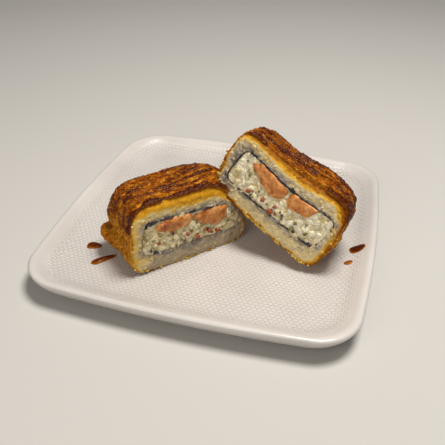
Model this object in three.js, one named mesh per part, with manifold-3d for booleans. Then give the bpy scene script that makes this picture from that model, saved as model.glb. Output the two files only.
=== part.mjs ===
// A sushi burger, cut in two, on its square plate. Millimetres, +Z up; the plate's foot stands
// on z = 0 and the plate's centre is x = y = 0, with its front edge along X at -Y.
// Each half of the burger has a frame of its own: s runs along the cut, v goes from the cut
// into the half, and w goes up.
import * as THREE from 'three';
import { mergeVertices } from 'three/addons/utils/BufferGeometryUtils.js';
import Module from 'manifold-3d';

const wasm = await Module();
wasm.setup();

// ---- driving dimensions -------------------------------------------------------------------
const plate = {
  side: 220,          // from one side's middle to the other's
  sideSag: 3.3,       // how far a side's ends fall back from its middle
  straight: 80.5,     // half the length of a side, up to where its corner starts
  samples: 60,        // points round each ring
  // the section from the middle of the well, over the lip and down the wall to the foot and
  // back under the well: [how far inside the edge, height]
  section: [
    [60, 9.2], [20.5, 9.2], [16.5, 9.7], [12.5, 11.3], [8, 14.6], [4.4, 17.5], [2.4, 18],
    [0.8, 17.8], [0, 16.8], [0.6, 14.2], [2.2, 11], [4.6, 7.6], [9, 4.6], [14, 3.2],
    [15, 0], [19, 0], [20, 3.8],
  ],
};
const wellHeight = 9.2;
const touchGap = 0.3;        // between pieces that touch

const crust = {
  samples: 58,        // points round each ring of a half
  mouthRounding: 3.5, // the knife pressed the crust's edge in over this depth
  mouthInset: 1.1,
  crags: 0.4,         // height of the crumb's unevenness
  swell: 0.4,         // height of its broad waves
};
const sauce = {
  pitch: 4.3,         // between neighbouring strands
  height: 0.9,        // a strand's relief on the crust
  wander: 1.5,        // how far a strand swings to either side
};
const nori = { thickness: 0.9, openReach: 9 };
const pocketSamples = 48;    // points round the pocket and each layer that lines it

const leftHalf = {
  place: [-7.6, -42.75, wellHeight + touchGap],
  turn: [0, 0, 48.2],                    // degrees about X, Y and Z, the last one first
  depth: 41.2,
  back: { rounding: 15.2, pull: [24, 7.5] },   // how far the back edge curves in, along v, s and w
  // corners of the cut, going round anticlockwise: [s, w, how far its rounding reaches]
  outline: [[-44, 2.2, 8], [-8, 0, 14], [40, 0, 9], [42.5, 18, 10], [20, 50.5, 15], [-44.5, 50.5, 16]],
  middle: [-2, 25],
  pocket: { outline: [[-38, 13, 8], [33, 12, 6], [37, 20, 5], [24, 35.5, 6], [-36, 39, 7]], depth: 31 },
  noriOpen: { low: 17, high: 35 },       // the open end of the strip, from w to w
  sauceLow: 24,                          // where the sauce ends on the open end's side
  // a flare near the plate, and the shoulder that the other half leans on
  bulges: [
    { s: -43, v: 38, w: 14, out: 11, wide: 14, tall: 8 },
    { s: 26.2, v: 21, w: 43.3, out: 7.8, wide: 13.2, tall: 14 },
  ],
  seed: 3,
};
const rightHalf = {
  place: [40.1, -23.5, 56.15],
  turn: [-15.9, 24.1, -16],
  depth: 43.5,
  back: { rounding: 24, pull: [21.3, 8.4] },
  outline: [
    [-37, -21.5, 9], [5, -26, 20], [47.5, -27, 9], [50.5, -4, 9], [44.5, 22.5, 12], [3, 19.5, 20],
    [-38.5, 24, 10], [-41.5, 4, 10],
  ],
  middle: [3, -2],
  pocket: { outline: [[-34, -13, 8], [41, -15, 8], [43.5, 11, 8], [6, 9.5, 10], [-32, 14.5, 9]], depth: 32 },
  noriOpen: { low: -10, high: 8 },
  sauceLow: -14,
  bulges: [{ s: 16.8, v: 18.9, w: 19, out: 5.9, wide: 21.7, tall: 14 }],
  seed: 8,
};

// bars of salmon: corners of each one's section in its half, and how far in it runs
const salmonBars = {
  salmon_left_1: {
    half: 'left', depth: 28,
    outline: [[-27, 31, 2], [-20, 27.5, 3], [-7, 26.5, 3], [-3, 31, 2], [-5, 34.2, 2], [-20, 34.5, 2]],
  },
  salmon_left_2: {
    half: 'left', depth: 28,
    outline: [[-1, 31, 2], [8, 23, 3], [20, 20, 4], [26, 24, 3], [24, 30, 3], [12, 34, 3]],
  },
  salmon_right_1: {
    half: 'right', depth: 28,
    outline: [[-21, 4, 3], [-12, 1, 3], [-4, -1.5, 3], [3, 1, 3], [6, 5.5, 2], [-7, 9, 3], [-15, 9.2, 3]],
  },
  salmon_right_2: {
    half: 'right', depth: 28,
    outline: [[9, 1, 3], [16, -1.5, 3], [26, 2.5, 3], [29, 8, 2], [20, 8.2, 3], [9, 7, 3]],
  },
};

// small diced pieces on the cut of each filling: [s, w, size]
const dice = {
  left: [[2, 16.5, 3.4], [11, 17.5, 2.8], [18, 15.5, 2.6], [-5, 20.5, 2.4], [-26, 21, 2.8], [-33, 27, 4.2],
    [-29, 16.5, 3], [-13, 19, 3.2], [30, 19, 2.6]],
  right: [[5, -11, 4.2], [-15, -8.5, 2.6], [-4, -7.5, 2.8], [4.5, -5.5, 2.6], [-24, 5, 5.4], [22, -11.5, 3],
    [31, -7.5, 3.4], [14, -5.5, 2.6], [36, 1, 3.6]],
};

// sauce on the plate: the middle of each drop, its direction in degrees, length, width, height,
// and how much narrower its far end is than its near one (0 to 1)
const drops = {
  sauce_drop_1: { at: [-77, -51.8], turn: 8, length: 10.2, width: 8.4, height: 1.5, taper: 0.35 },
  sauce_drop_2: { at: [-64.4, -63.6], turn: 46, length: 18, width: 6, height: 1.4, taper: 0.62 },
  sauce_drop_3: { at: [97.8, -5.9], turn: 13, length: 11.4, width: 5.6, height: 1.2, taper: 0.3 },
  sauce_drop_4: { at: [93.4, -20.6], turn: 30, length: 6, width: 3.6, height: 0.9, taper: 0.2 },
};

// ---- shared helpers -----------------------------------------------------------------------
const noise = (a, b) => {
  const x = Math.sin(a * 127.1 + b * 311.7) * 43758.5453;
  return 2 * (x - Math.floor(x)) - 1;
};
const mix = (a, b, t) => a + (b - a) * t;
const smooth = (a, b, x) => THREE.MathUtils.smoothstep(x, a, b);

// A closed skin over rings of points, each ring closed with a fan to a middle point.
function skinRings(rings, startMiddle, endMiddle) {
  const count = rings[0].length;
  const points = [...rings.flat(), startMiddle, endMiddle];
  const index = [];
  for (let j = 0; j + 1 < rings.length; j++) {
    for (let i = 0; i < count; i++) {
      const a = j * count + i;
      const b = j * count + (i + 1) % count;
      index.push(a, b + count, b, a, a + count, b + count);
    }
  }
  const first = rings.length * count;
  const last = (rings.length - 1) * count;
  for (let i = 0; i < count; i++) {
    index.push(first, i, (i + 1) % count);
    index.push(first + 1, last + (i + 1) % count, last + i);
  }
  const geometry = new THREE.BufferGeometry();
  geometry.setAttribute('position', new THREE.Float32BufferAttribute(points.flatMap((p) => [...p]), 3));
  geometry.setIndex(index);
  return geometry;
}

function toSolid(geometry) {
  const merged = mergeVertices(geometry);
  return new wasm.Manifold(new wasm.Mesh({
    numProp: 3,
    vertProperties: new Float32Array(merged.attributes.position.array),
    triVerts: new Uint32Array(merged.index.array),
  }));
}

function toGeometry(solid) {
  const mesh = solid.getMesh();
  const geometry = new THREE.BufferGeometry();
  geometry.setAttribute('position', new THREE.BufferAttribute(mesh.vertProperties, 3));
  geometry.setIndex(new THREE.BufferAttribute(mesh.triVerts, 1));
  geometry.computeVertexNormals();
  return geometry;
}

// A closed outline through straight sides with rounded corners, as evenly spaced points.
function roundedOutline(corners, count) {
  const path = new THREE.Path();
  corners.forEach(([s, w, reach], i) => {
    const corner = new THREE.Vector2(s, w);
    const before = new THREE.Vector2(...corners.at(i - 1));
    const after = new THREE.Vector2(...corners[(i + 1) % corners.length]);
    const enter = before.sub(corner).setLength(reach).add(corner);
    const leave = after.sub(corner).setLength(reach).add(corner);
    if (i === 0) path.moveTo(enter.x, enter.y);
    else path.lineTo(enter.x, enter.y);
    path.quadraticCurveTo(corner.x, corner.y, leave.x, leave.y);
  });
  path.closePath();
  return path.getSpacedPoints(count).slice(0, count);
}

// The outward normal at each point of a closed, anticlockwise outline.
function outwardNormals(outline) {
  return outline.map((_, i) => {
    const along = outline[(i + 1) % outline.length].clone().sub(outline.at(i - 1));
    return new THREE.Vector2(along.y, -along.x).normalize();
  });
}

const insetOutline = (outline, inset) => {
  const normals = outwardNormals(outline);
  return outline.map((p, i) => p.clone().addScaledVector(normals[i], -inset));
};

const outlineMiddle = (outline) => outline
  .reduce((sum, p) => sum.add(p), new THREE.Vector2()).divideScalar(outline.length);

const pocketOutline = (pocket, inset) => insetOutline(roundedOutline(pocket.outline, pocketSamples), inset);

// The s of the pocket's open end, the one that the nori leaves free.
function openEnd({ pocket, openSide }) {
  const along = pocket.outline.map(([s]) => s * openSide);
  return Math.min(...along) * openSide;
}

function named(name, geometry, color, roughness) {
  const material = new THREE.MeshStandardMaterial({ color, roughness, metalness: 0 });
  const mesh = new THREE.Mesh(geometry, material);
  mesh.name = name;
  return mesh;
}

// ---- the plate ----------------------------------------------------------------------------
const halfSide = plate.side / 2;
const sideEnd = halfSide - plate.sideSag;
const sideSlope = Math.atan(2 * plate.sideSag / plate.straight);
const cornerRadius = (sideEnd - plate.straight) / (Math.cos(sideSlope) - Math.sin(sideSlope));
const cornerMiddle = sideEnd - cornerRadius * Math.cos(sideSlope);

// One point of the plate's edge: a quarter of it is a bowed side and the arc of a corner.
function plateEdge(turn) {
  const quarter = Math.floor(turn * 4);
  const t = turn * 4 - quarter;
  const point = new THREE.Vector2();
  const arcShare = 0.55;
  if (t < 1 - arcShare) {
    const y = mix(-plate.straight, plate.straight, t / (1 - arcShare));
    point.set(halfSide - plate.sideSag * (y / plate.straight) ** 2, y);
  } else {
    const angle = mix(sideSlope, Math.PI / 2 - sideSlope, (t - 1 + arcShare) / arcShare);
    point.set(cornerMiddle + cornerRadius * Math.cos(angle), cornerMiddle + cornerRadius * Math.sin(angle));
  }
  return point.rotateAround(new THREE.Vector2(), quarter * Math.PI / 2);
}

function makePlate() {
  const edge = Array.from({ length: plate.samples }, (_, i) => plateEdge(i / plate.samples));
  const rings = plate.section.map(([inset, z]) => {
    const scale = 1 - inset / halfSide;
    return edge.map((p) => new THREE.Vector3(p.x * scale, p.y * scale, z));
  });
  const [topMiddle, underMiddle] = [plate.section[0][1], plate.section.at(-1)[1]];
  return skinRings(rings, new THREE.Vector3(0, 0, topMiddle), new THREE.Vector3(0, 0, underMiddle));
}

// How large a copy of the plate's edge passes through a point, as a share of the whole.
function plateShare(x, y) {
  const [a, b] = [Math.abs(x), Math.abs(y)].sort((p, q) => q - p);
  if (b <= a * plate.straight / sideEnd) {
    const bow = 4 * halfSide * plate.sideSag * (b / plate.straight) ** 2;
    return (a + Math.sqrt(a * a + bow)) / (2 * halfSide);
  }
  const square = 2 * cornerMiddle ** 2 - cornerRadius ** 2;
  const linear = 2 * cornerMiddle * (a + b);
  return (linear - Math.sqrt(linear ** 2 - 4 * square * (a * a + b * b))) / (2 * square);
}

function plateTop(x, y) {
  const inset = halfSide * (1 - plateShare(x, y));
  const next = plate.section.findIndex(([reach]) => reach <= inset);
  if (next <= 0) return wellHeight;
  const [outer, outerZ] = plate.section[next];
  const [inner, innerZ] = plate.section[next - 1];
  return mix(outerZ, innerZ, (inset - outer) / (inner - outer));
}

// ---- the rice shell of a half, with its crust ---------------------------------------------
// A ring runs round the half at a distance from the cut, measured over the crust: straight in
// at first, then round the back. Every second ring is the crest of a sauce strand.
function crustPoint(half, outline, normals, i, reach, relief) {
  const { depth, back, middle, outline: corners } = half;
  const flat = depth - back.rounding;
  const bend = Math.min(Math.max((reach - flat) / back.rounding, 0), Math.PI / 2);
  const inset = 1 - Math.cos(bend);
  const mouth = Math.max(1 - reach / crust.mouthRounding, 0);
  const spanS = Math.max(...corners.map(([s]) => Math.abs(s - middle[0])));
  const spanW = Math.max(...corners.map(([, w]) => Math.abs(w - middle[1])));
  const out = relief - crust.mouthInset * mouth * mouth * smooth(-0.2, 0.4, normals[i].y);
  const side = out * Math.cos(bend);
  const s = middle[0] + (outline[i].x - middle[0]) * (1 - inset * back.pull[0] / spanS) + normals[i].x * side;
  const w = middle[1] + (outline[i].y - middle[1]) * (1 - inset * back.pull[1] / spanW) + normals[i].y * side;
  const v = Math.min(reach, flat) + (back.rounding + out) * Math.sin(bend);
  return new THREE.Vector3(s, v, w);
}

// How much sauce lies on a point of the outline: all over the top, and part way down the ends.
function sauceCover(half, point, normal) {
  const top = smooth(0.25, 0.6, normal.y);
  const side = smooth(0.3, 0.8, -normal.x * half.openSide);
  return Math.max(top, side * smooth(half.sauceLow - 4, half.sauceLow + 2, point.y));
}

// How far the bulges push a point out: a bell across each one, flat-topped in height.
const bulgeOut = (half, p) => half.bulges.reduce((sum, { s, v, w, out, wide, tall }) => {
  const across = ((p.x - s) ** 2 + (p.y - v) ** 2) / wide ** 2;
  return sum + out * Math.exp(-across - Math.abs((p.z - w) / tall) ** 4);
}, 0);

function makeShell(half, grow) {
  const outline = roundedOutline(half.outline, crust.samples);
  const normals = outwardNormals(outline);
  const { depth, middle, seed } = half;
  const reachEnd = depth + half.back.rounding * (Math.PI / 2 - 1);
  const strands = Math.round((reachEnd - 5) / sauce.pitch);
  const rings = [];
  // the face of the cut, from its middle out
  for (const share of [0.5, 0.82, 0.93]) {
    rings.push(outline.map((p, i) => new THREE.Vector3(
      mix(middle[0], p.x, share),
      -grow + (grow ? 0 : 0.45 * noise(i + seed, share * 10)),
      mix(middle[1], p.y, share),
    )));
  }
  for (let k = 0; k <= 2 * strands + 1; k++) {
    const isCrest = k % 2 === 1;
    rings.push(outline.map((p, i) => {
      const swing = sauce.wander * (Math.sin(p.x / 9 + k * 0.9 + seed) + 0.5 * Math.sin(p.x / 4.3 - k * 1.7));
      const inside = smooth(0, 3, k) * smooth(0, 3, 2 * strands + 1 - k);
      const reach = mix(0, reachEnd, k / (2 * strands + 1)) + swing * inside;
      const waves = Math.sin(p.x / 7 + seed) * Math.sin(reach / 6 + p.y / 9);
      const crags = (crust.crags * noise(i + seed, k) + crust.swell * waves) * inside;
      const cover = sauceCover(half, p, normals[i]);
      const ridge = isCrest ? sauce.height * cover * inside : 0;
      const under = smooth(-0.9, -0.5, normals[i].y);
      const base = crustPoint(half, outline, normals, i, reach, 0);
      const relief = (crags + ridge) * under + bulgeOut(half, base) + grow;
      return crustPoint(half, outline, normals, i, reach, relief);
    }));
  }
  const back = rings.at(-1);
  const backMiddle = new THREE.Vector3(middle[0], depth + grow, middle[1]);
  for (const share of [0.72, 0.4]) {
    rings.push(back.map((p, i) => {
      const q = new THREE.Vector3().lerpVectors(backMiddle, p, share);
      q.y = depth + grow + crust.crags * noise(i + seed, share * 20);
      return q;
    }));
  }
  return skinRings(rings, new THREE.Vector3(middle[0], -grow, middle[1]), backMiddle);
}

function makePrism(outline, from, to) {
  const ring = (v) => outline.map((p) => new THREE.Vector3(p.x, v, p.y));
  const middle = outlineMiddle(outline);
  const centre = (v) => new THREE.Vector3(middle.x, v, middle.y);
  return skinRings([ring(from), ring(to)], centre(from), centre(to));
}

// ---- the layers inside --------------------------------------------------------------------
// The strip of nori lines the pocket all round but for its open end, which the filling meets.
function makeNori(half) {
  const outer = pocketOutline(half.pocket, touchGap);
  const inner = pocketOutline(half.pocket, touchGap + nori.thickness);
  const { low, high } = half.noriOpen;
  const isOpen = (p) => Math.abs(p.x - openEnd(half)) < nori.openReach && p.y > low && p.y < high;
  const start = outer.findIndex((p, i) => isOpen(outer.at(i - 1)) && !isOpen(p));
  const count = outer.filter((p) => !isOpen(p)).length;
  const back = half.pocket.depth - touchGap;
  const sections = Array.from({ length: count }, (_, j) => {
    const i = (start + j) % pocketSamples;
    const front = 0.5 * noise(i, half.seed);
    return [[outer[i], front], [inner[i], front], [inner[i], back], [outer[i], back]]
      .map(([p, v]) => new THREE.Vector3(p.x, v, p.y));
  });
  const middleOf = (ring) => ring.reduce((sum, p) => sum.add(p), new THREE.Vector3()).divideScalar(4);
  return skinRings(sections, middleOf(sections[0]), middleOf(sections.at(-1)));
}

// The soft filling: lumpy at the cut, set back from the nori, and from the rice at the open end.
function makeFilling(half) {
  const { pocket, seed, noriOpen } = half;
  const lined = pocketOutline(pocket, 2 * touchGap + nori.thickness);
  const middle = outlineMiddle(lined);
  const rings = [];
  for (const [share, proud] of [[0.3, 0.9], [0.6, 0.9], [0.85, 0.5], [1, -0.3]]) {
    rings.push(lined.map((p, i) => new THREE.Vector3(
      mix(middle.x, p.x, share),
      -proud + 0.8 * noise(i + seed, share * 7),
      mix(middle.y, p.y, share),
    )));
  }
  rings.push(lined.map((p) => new THREE.Vector3(p.x, pocket.depth - touchGap, p.y)));
  const wall = openEnd(half);
  const root = wall + 6 * half.openSide;
  const [low, high] = [noriOpen.low + 1.6, noriOpen.high - 1.6];
  const [left, right] = [Math.min(wall, root), Math.max(wall, root)];
  const corners = [[left, low, 1], [right, low, 1], [right, high, 1], [left, high, 1]];
  const end = pocket.depth - touchGap;
  const tongue = toSolid(makePrism(roundedOutline(corners, 16), -0.2, end))
    .intersect(toSolid(makePrism(pocketOutline(pocket, touchGap), -1, end)));
  const body = toSolid(skinRings(rings, new THREE.Vector3(middle.x, -0.9, middle.y),
    new THREE.Vector3(middle.x, end, middle.y)));
  return body.add(tongue);
}

function makeDie([s, w, size], seed) {
  const geometry = new THREE.IcosahedronGeometry(size / 2, 0);
  geometry.deleteAttribute('normal');
  geometry.deleteAttribute('uv');
  geometry.rotateX(noise(s, seed) * 3).rotateZ(noise(w, seed) * 3);
  geometry.scale(1.15, 0.9, 0.9).translate(s, -0.7, w);
  return toSolid(geometry);
}

// A bar of salmon narrows a little as it runs in, and its cut end is slightly domed.
function makeSalmon(bar, grow) {
  const outline = insetOutline(roundedOutline(bar.outline, 14), -grow);
  const middle = outlineMiddle(outline);
  const ring = (v, share) => outline.map((p) => new THREE.Vector3(
    mix(middle.x, p.x, share), v, mix(middle.y, p.y, share)));
  const start = grow ? -8 : -1.1;
  const end = bar.depth + grow;
  return skinRings(
    [ring(start, grow ? 1 : 0.8), ring(-0.6, 1), ring(end, 0.9)],
    new THREE.Vector3(middle.x, start - (grow ? 0 : 0.3), middle.y),
    new THREE.Vector3(middle.x, end, middle.y),
  );
}

// ---- sauce on the plate -------------------------------------------------------------------
function makeDrop({ at, turn, length, width, height, taper }) {
  const angle = THREE.MathUtils.degToRad(turn);
  const samples = 14;
  const ring = (share, lift) => Array.from({ length: samples }, (_, i) => {
    const a = -2 * Math.PI * i / samples;
    const along = Math.cos(a) * share * length / 2;
    const narrow = 1 - taper * (0.5 + Math.cos(a) * share / 2);
    const across = Math.sin(a) * share * narrow * width / 2;
    const x = at[0] + along * Math.cos(angle) - across * Math.sin(angle);
    const y = at[1] + along * Math.sin(angle) + across * Math.cos(angle);
    return new THREE.Vector3(x, y, plateTop(x, y) + touchGap + lift);
  });
  const under = new THREE.Vector3(...at, plateTop(...at) + touchGap);
  const top = under.clone().setZ(under.z + height);
  const rounding = [[0.96, 0.45], [0.78, 0.8], [0.4, 1]].map(([share, rise]) => ring(share, rise * height));
  return skinRings([ring(0.5, 0), ring(1, 0), ...rounding], under, top);
}

// ---- putting it together ------------------------------------------------------------------
const halves = { left: leftHalf, right: rightHalf };
leftHalf.openSide = 1;      // the nori is open at the end at -s
rightHalf.openSide = -1;    // and here at the end at +s

const frames = {};
for (const [side, half] of Object.entries(halves)) {
  const frame = new THREE.Group();
  frame.position.set(...half.place);
  frame.rotation.set(...half.turn.map(THREE.MathUtils.degToRad), 'ZYX');
  frame.updateMatrix();
  frames[side] = frame;
}

const burger = new THREE.Group();
burger.add(named('plate', makePlate(), '#ece7e1', 0.25));

// the right half leans on the left one, which is pressed in where they touch
const rightToLeft = frames.left.matrix.clone().invert().multiply(frames.right.matrix);
const pressing = toSolid(makeShell(rightHalf, touchGap + 0.1).applyMatrix4(rightToLeft));

for (const [side, half] of Object.entries(halves)) {
  const frame = frames[side];
  const pocketTool = toSolid(makePrism(pocketOutline(half.pocket, 0), -6, half.pocket.depth));
  let shell = toSolid(makeShell(half, 0)).subtract(pocketTool);
  let filling = makeFilling(half);
  for (const die of dice[side]) filling = filling.add(makeDie(die, half.seed));
  let strip = toSolid(makeNori(half));
  const bars = Object.entries(salmonBars).filter(([, bar]) => bar.half === side);
  for (const [, bar] of bars) filling = filling.subtract(toSolid(makeSalmon(bar, touchGap)));
  if (side === 'left') {
    shell = shell.subtract(pressing);
    filling = filling.subtract(pressing);
    strip = strip.subtract(pressing);
  }
  frame.add(named(`rice_${side}`, toGeometry(shell), '#c08a3a', 0.75));
  frame.add(named(`nori_${side}`, toGeometry(strip), '#2b2f30', 0.6));
  frame.add(named(`filling_${side}`, toGeometry(filling), '#ddd3b2', 0.55));
  for (const [name, bar] of bars) {
    frame.add(named(name, toGeometry(toSolid(makeSalmon(bar, 0))), '#cf7f4e', 0.4));
  }
  burger.add(frame);
}

for (const [name, drop] of Object.entries(drops)) {
  burger.add(named(name, makeDrop(drop), '#5a2508', 0.2));
}

export default burger;
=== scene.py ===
import math
import bpy
import numpy as np
from mathutils import Matrix, Vector


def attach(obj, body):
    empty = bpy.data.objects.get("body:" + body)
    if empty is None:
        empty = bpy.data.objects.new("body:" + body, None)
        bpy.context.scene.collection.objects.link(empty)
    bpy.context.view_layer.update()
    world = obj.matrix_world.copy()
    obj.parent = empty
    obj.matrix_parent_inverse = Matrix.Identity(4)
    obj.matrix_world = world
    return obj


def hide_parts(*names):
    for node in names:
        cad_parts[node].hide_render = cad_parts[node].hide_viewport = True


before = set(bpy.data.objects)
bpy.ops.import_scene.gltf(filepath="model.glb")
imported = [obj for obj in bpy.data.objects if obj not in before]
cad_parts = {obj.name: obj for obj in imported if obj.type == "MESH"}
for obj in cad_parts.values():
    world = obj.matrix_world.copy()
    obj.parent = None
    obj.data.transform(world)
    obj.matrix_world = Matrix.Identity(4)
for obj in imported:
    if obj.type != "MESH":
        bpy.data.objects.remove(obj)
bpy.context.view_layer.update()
mm = 0.001

# small tools

def linearColor(hexCode):
    # sRGB hex to linear: (c + 0.055) / 1.055 to the power 2.4, or c / 12.92 near black
    channels = [int(hexCode[i:i + 2], 16) / 255 for i in (1, 3, 5)]
    return [*(c / 12.92 if c < 0.04045 else ((c + 0.055) / 1.055) ** 2.4 for c in channels), 1.0]


def addNode(tree, kind, settings=None, links=None, stops=()):
    # settings: inputs and properties; links: what feeds an input, which is a node, a socket or
    # the name of the piece's own attribute; stops: a ramp's places and colours
    node = tree.nodes.new("ShaderNode" + kind)
    for key, value in (settings or {}).items():
        if isinstance(key, int) or key in node.inputs:
            node.inputs[key].default_value = value
        else:
            setattr(node, key, value)
    for key, source in (links or {}).items():
        if isinstance(source, str):
            source = addNode(tree, "Attribute", {"attribute_name": source}).outputs["Fac"]
        tree.links.new(getattr(source, "outputs", [source])[0], node.inputs[key])
    while stops and len(node.color_ramp.elements) < len(stops):
        node.color_ramp.elements.new(0.5)
    for k, (place, color) in enumerate(stops):
        node.color_ramp.elements[k].position = place
        node.color_ramp.elements[k].color = linearColor(color)
    return node


def newMaterial(name, values, pattern=None, *options):
    # a Principled shader; pattern adds the nodes that feed it, in the object's own coordinates
    # in metres, and says which input each of them feeds
    material = bpy.data.materials.new(name)
    material.use_nodes = True
    tree = material.node_tree
    tree.nodes.clear()
    place = addNode(tree, "TexCoord").outputs["Object"]
    shader = addNode(tree, "BsdfPrincipled", values, pattern and pattern(tree, place, *options))
    addNode(tree, "OutputMaterial", links={"Surface": shader})
    return material


def addObject(name, data):
    added = bpy.data.objects.new(name, data)
    bpy.context.scene.collection.objects.link(added)
    return added


def addPiece(name, points, faces, material, node, attributes):
    # points are in millimetres of the part's frame and faces are quads; an attribute has one
    # value for each point, or for each of the small pieces that were scattered
    mesh = bpy.data.meshes.new(name)
    mesh.vertices.add(len(points))
    mesh.vertices.foreach_set("co", (points * mm).astype(np.float32).ravel())
    mesh.loops.add(faces.size)
    mesh.loops.foreach_set("vertex_index", faces.astype(np.int32).ravel())
    mesh.polygons.add(len(faces))
    mesh.polygons.foreach_set("loop_start", np.arange(0, faces.size, 4, dtype=np.int32))
    mesh.polygons.foreach_set("use_smooth", np.ones(len(faces), bool))
    mesh.materials.append(material)
    mesh.update(calc_edges=True)
    for key, values in attributes.items():
        layer = mesh.attributes.new(key, "FLOAT", "POINT")
        layer.data.foreach_set("value", np.repeat(values, len(points) // len(values)).astype(np.float32))
    mesh.validate()
    piece = addObject(name, mesh)
    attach(piece, "root")
    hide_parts(node)


def gridFaces(rows, columns, offset=0):
    # quads between neighbouring rows of points, each row closed on itself
    j, i = np.meshgrid(np.arange(rows - 1), np.arange(columns), indexing="ij")
    a = j * columns + i
    b = j * columns + (i + 1) % columns
    return np.stack([a, a + columns, b + columns, b], -1).reshape(-1, 4) + offset


def openFaces(steps):
    # quads of an open square grid
    i, j = np.meshgrid(np.arange(steps), np.arange(steps), indexing="ij")
    k = (i * (steps + 1) + j).ravel()
    return np.stack([k, k + steps + 1, k + steps + 2, k + 1], -1)


def fanFaces(first, columns, middle):
    # quads that join a closed row, two sides at a time, to one middle point
    k = np.arange(0, columns, 2)
    return np.stack([first + (k + 2) % columns, first + k + 1, first + k, np.full(len(k), middle)], -1)


def closedSkin(rings, startMiddle, endMiddle):
    # rows of points, each closed on itself, and a fan to a middle point at both ends
    rows, columns = rings.shape[:2]
    count = rows * columns
    points = np.concatenate([rings.reshape(-1, 3), [startMiddle], [endMiddle]])
    return points, np.concatenate([gridFaces(rows, columns), fanFaces(0, columns, count)[:, [2, 1, 0, 3]],
                                   fanFaces(count - columns, columns, count + 1)])


def hashValue(i, seed):
    # a whole-number lattice point to a number from 0 to 1
    h = (i[..., 0] * 73856093) ^ (i[..., 1] * 19349663) ^ (i[..., 2] * 83492791) ^ (seed * 2654435761)
    h = (h ^ (h >> 13)) * 1274126177 & 0x7FFFFFFF
    return (h ^ (h >> 16)) % 65536 / 65536


def valueNoise(p, size, seed):
    # random values on a cubic lattice, blended with smoothstep weights; from -1 to 1
    q = p / size
    low = np.floor(q).astype(np.int64)
    f = q - low
    f = f * f * (3 - 2 * f)
    total = np.zeros(p.shape[:-1])
    for corner in np.ndindex(2, 2, 2):
        step = np.array(corner)
        weight = np.where(step, f, 1 - f).prod(-1)
        total += weight * hashValue(low + step, seed)
    return 2 * total - 1


def noises(p, *layers):
    # a sum of noises, each given by its amount, its size in millimetres and its seed
    return sum(amount * valueNoise(p, size, seed) for amount, size, seed in layers)


def asPoints(s, v, w):
    return np.stack(np.broadcast_arrays(s, v, w), -1).astype(float)


def onCut(flat, v=0.0):
    # (s, w) points of the cut, v millimetres into the half
    return asPoints(flat[..., 0], v, flat[..., 1])


def smoothStep(a, b, x):
    t = np.clip((x - a) / (b - a), 0, 1)
    return t * t * (3 - 2 * t)


def unit(vectors):
    return vectors / np.linalg.norm(vectors, axis=-1, keepdims=True)


def lengthAlong(points):
    return np.concatenate([[0], np.cumsum(np.linalg.norm(np.diff(points, axis=0), axis=1))])


def evenOutline(corners, count):
    # straight sides, and at each corner (1 - t)^2 enter + 2 t (1 - t) corner + t^2 leave, where
    # enter and leave lie on its two sides, as far off as its third number; evenly spaced
    corners = np.array(corners, float)
    here, off = corners[:, :2], corners[:, 2:]
    enter = (here + unit(np.roll(here, 1, 0) - here) * off)[:, None]
    leave = (here + unit(np.roll(here, -1, 0) - here) * off)[:, None]
    t = np.linspace(0, 1, 24)[:, None]
    dense = ((1 - t) ** 2 * enter + 2 * t * (1 - t) * here[:, None] + t * t * leave).reshape(-1, 2)
    closed = np.vstack([dense, dense[:1]])
    length = lengthAlong(closed)
    at = np.linspace(0, length[-1], count, endpoint=False)
    return np.stack([np.interp(at, length, closed[:, k]) for k in (0, 1)], -1)


def outwardNormals(outline):
    along = np.roll(outline, -1, 0) - np.roll(outline, 1, 0)
    return unit(np.stack([along[:, 1], -along[:, 0]], -1))


def insetBy(outline, inset):
    return outline - outwardNormals(outline) * inset


def outlineAlongRays(outline, middle, toward):
    # where rays from the middle towards given points meet an outline, by angle and radius
    d, ask = outline - middle, toward - middle
    angle, askAngle = np.arctan2(d[:, 1], d[:, 0]), np.arctan2(ask[:, 1], ask[:, 0])
    order = np.argsort(angle)
    radius = np.interp(askAngle, angle[order], np.hypot(d[order, 0], d[order, 1]), period=2 * np.pi)
    return middle + radius[:, None] * np.stack([np.cos(askAngle), np.sin(askAngle)], -1)


def insideOutline(outline, points):
    # an odd number of sides crossed by the ray towards +s
    a, b = outline, np.roll(outline, -1, 0)
    s, w = points[:, :1], points[:, 1:]
    crosses = (a[:, 1] > w) != (b[:, 1] > w)
    rise = np.where(b[:, 1] == a[:, 1], 1e-9, b[:, 1] - a[:, 1])
    at = a[:, 0] + (w - a[:, 1]) * (b[:, 0] - a[:, 0]) / rise
    return (crosses & (s < at)).sum(1) % 2 == 1


def edgeDistance(outline, points):
    # the distance to the outline's nearest point, and which one that is
    d = np.linalg.norm(points[:, None] - outline[None], axis=-1)
    return d.min(1), d.argmin(1)


# the shape of the two halves

# the upper edge of the cut falls back by drop, over these widths on the cut and over the crust,
# and the lower edge by its share of that; the knife's edge is rounded off over a short reach
shoulder = {"drop": 2.6, "lowShare": 0.25, "cutWidth": 6.0, "crustWidth": 5.0, "slope": 0.4,
            "rounded": 1.1, "roundedOver": 3.5}

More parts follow.
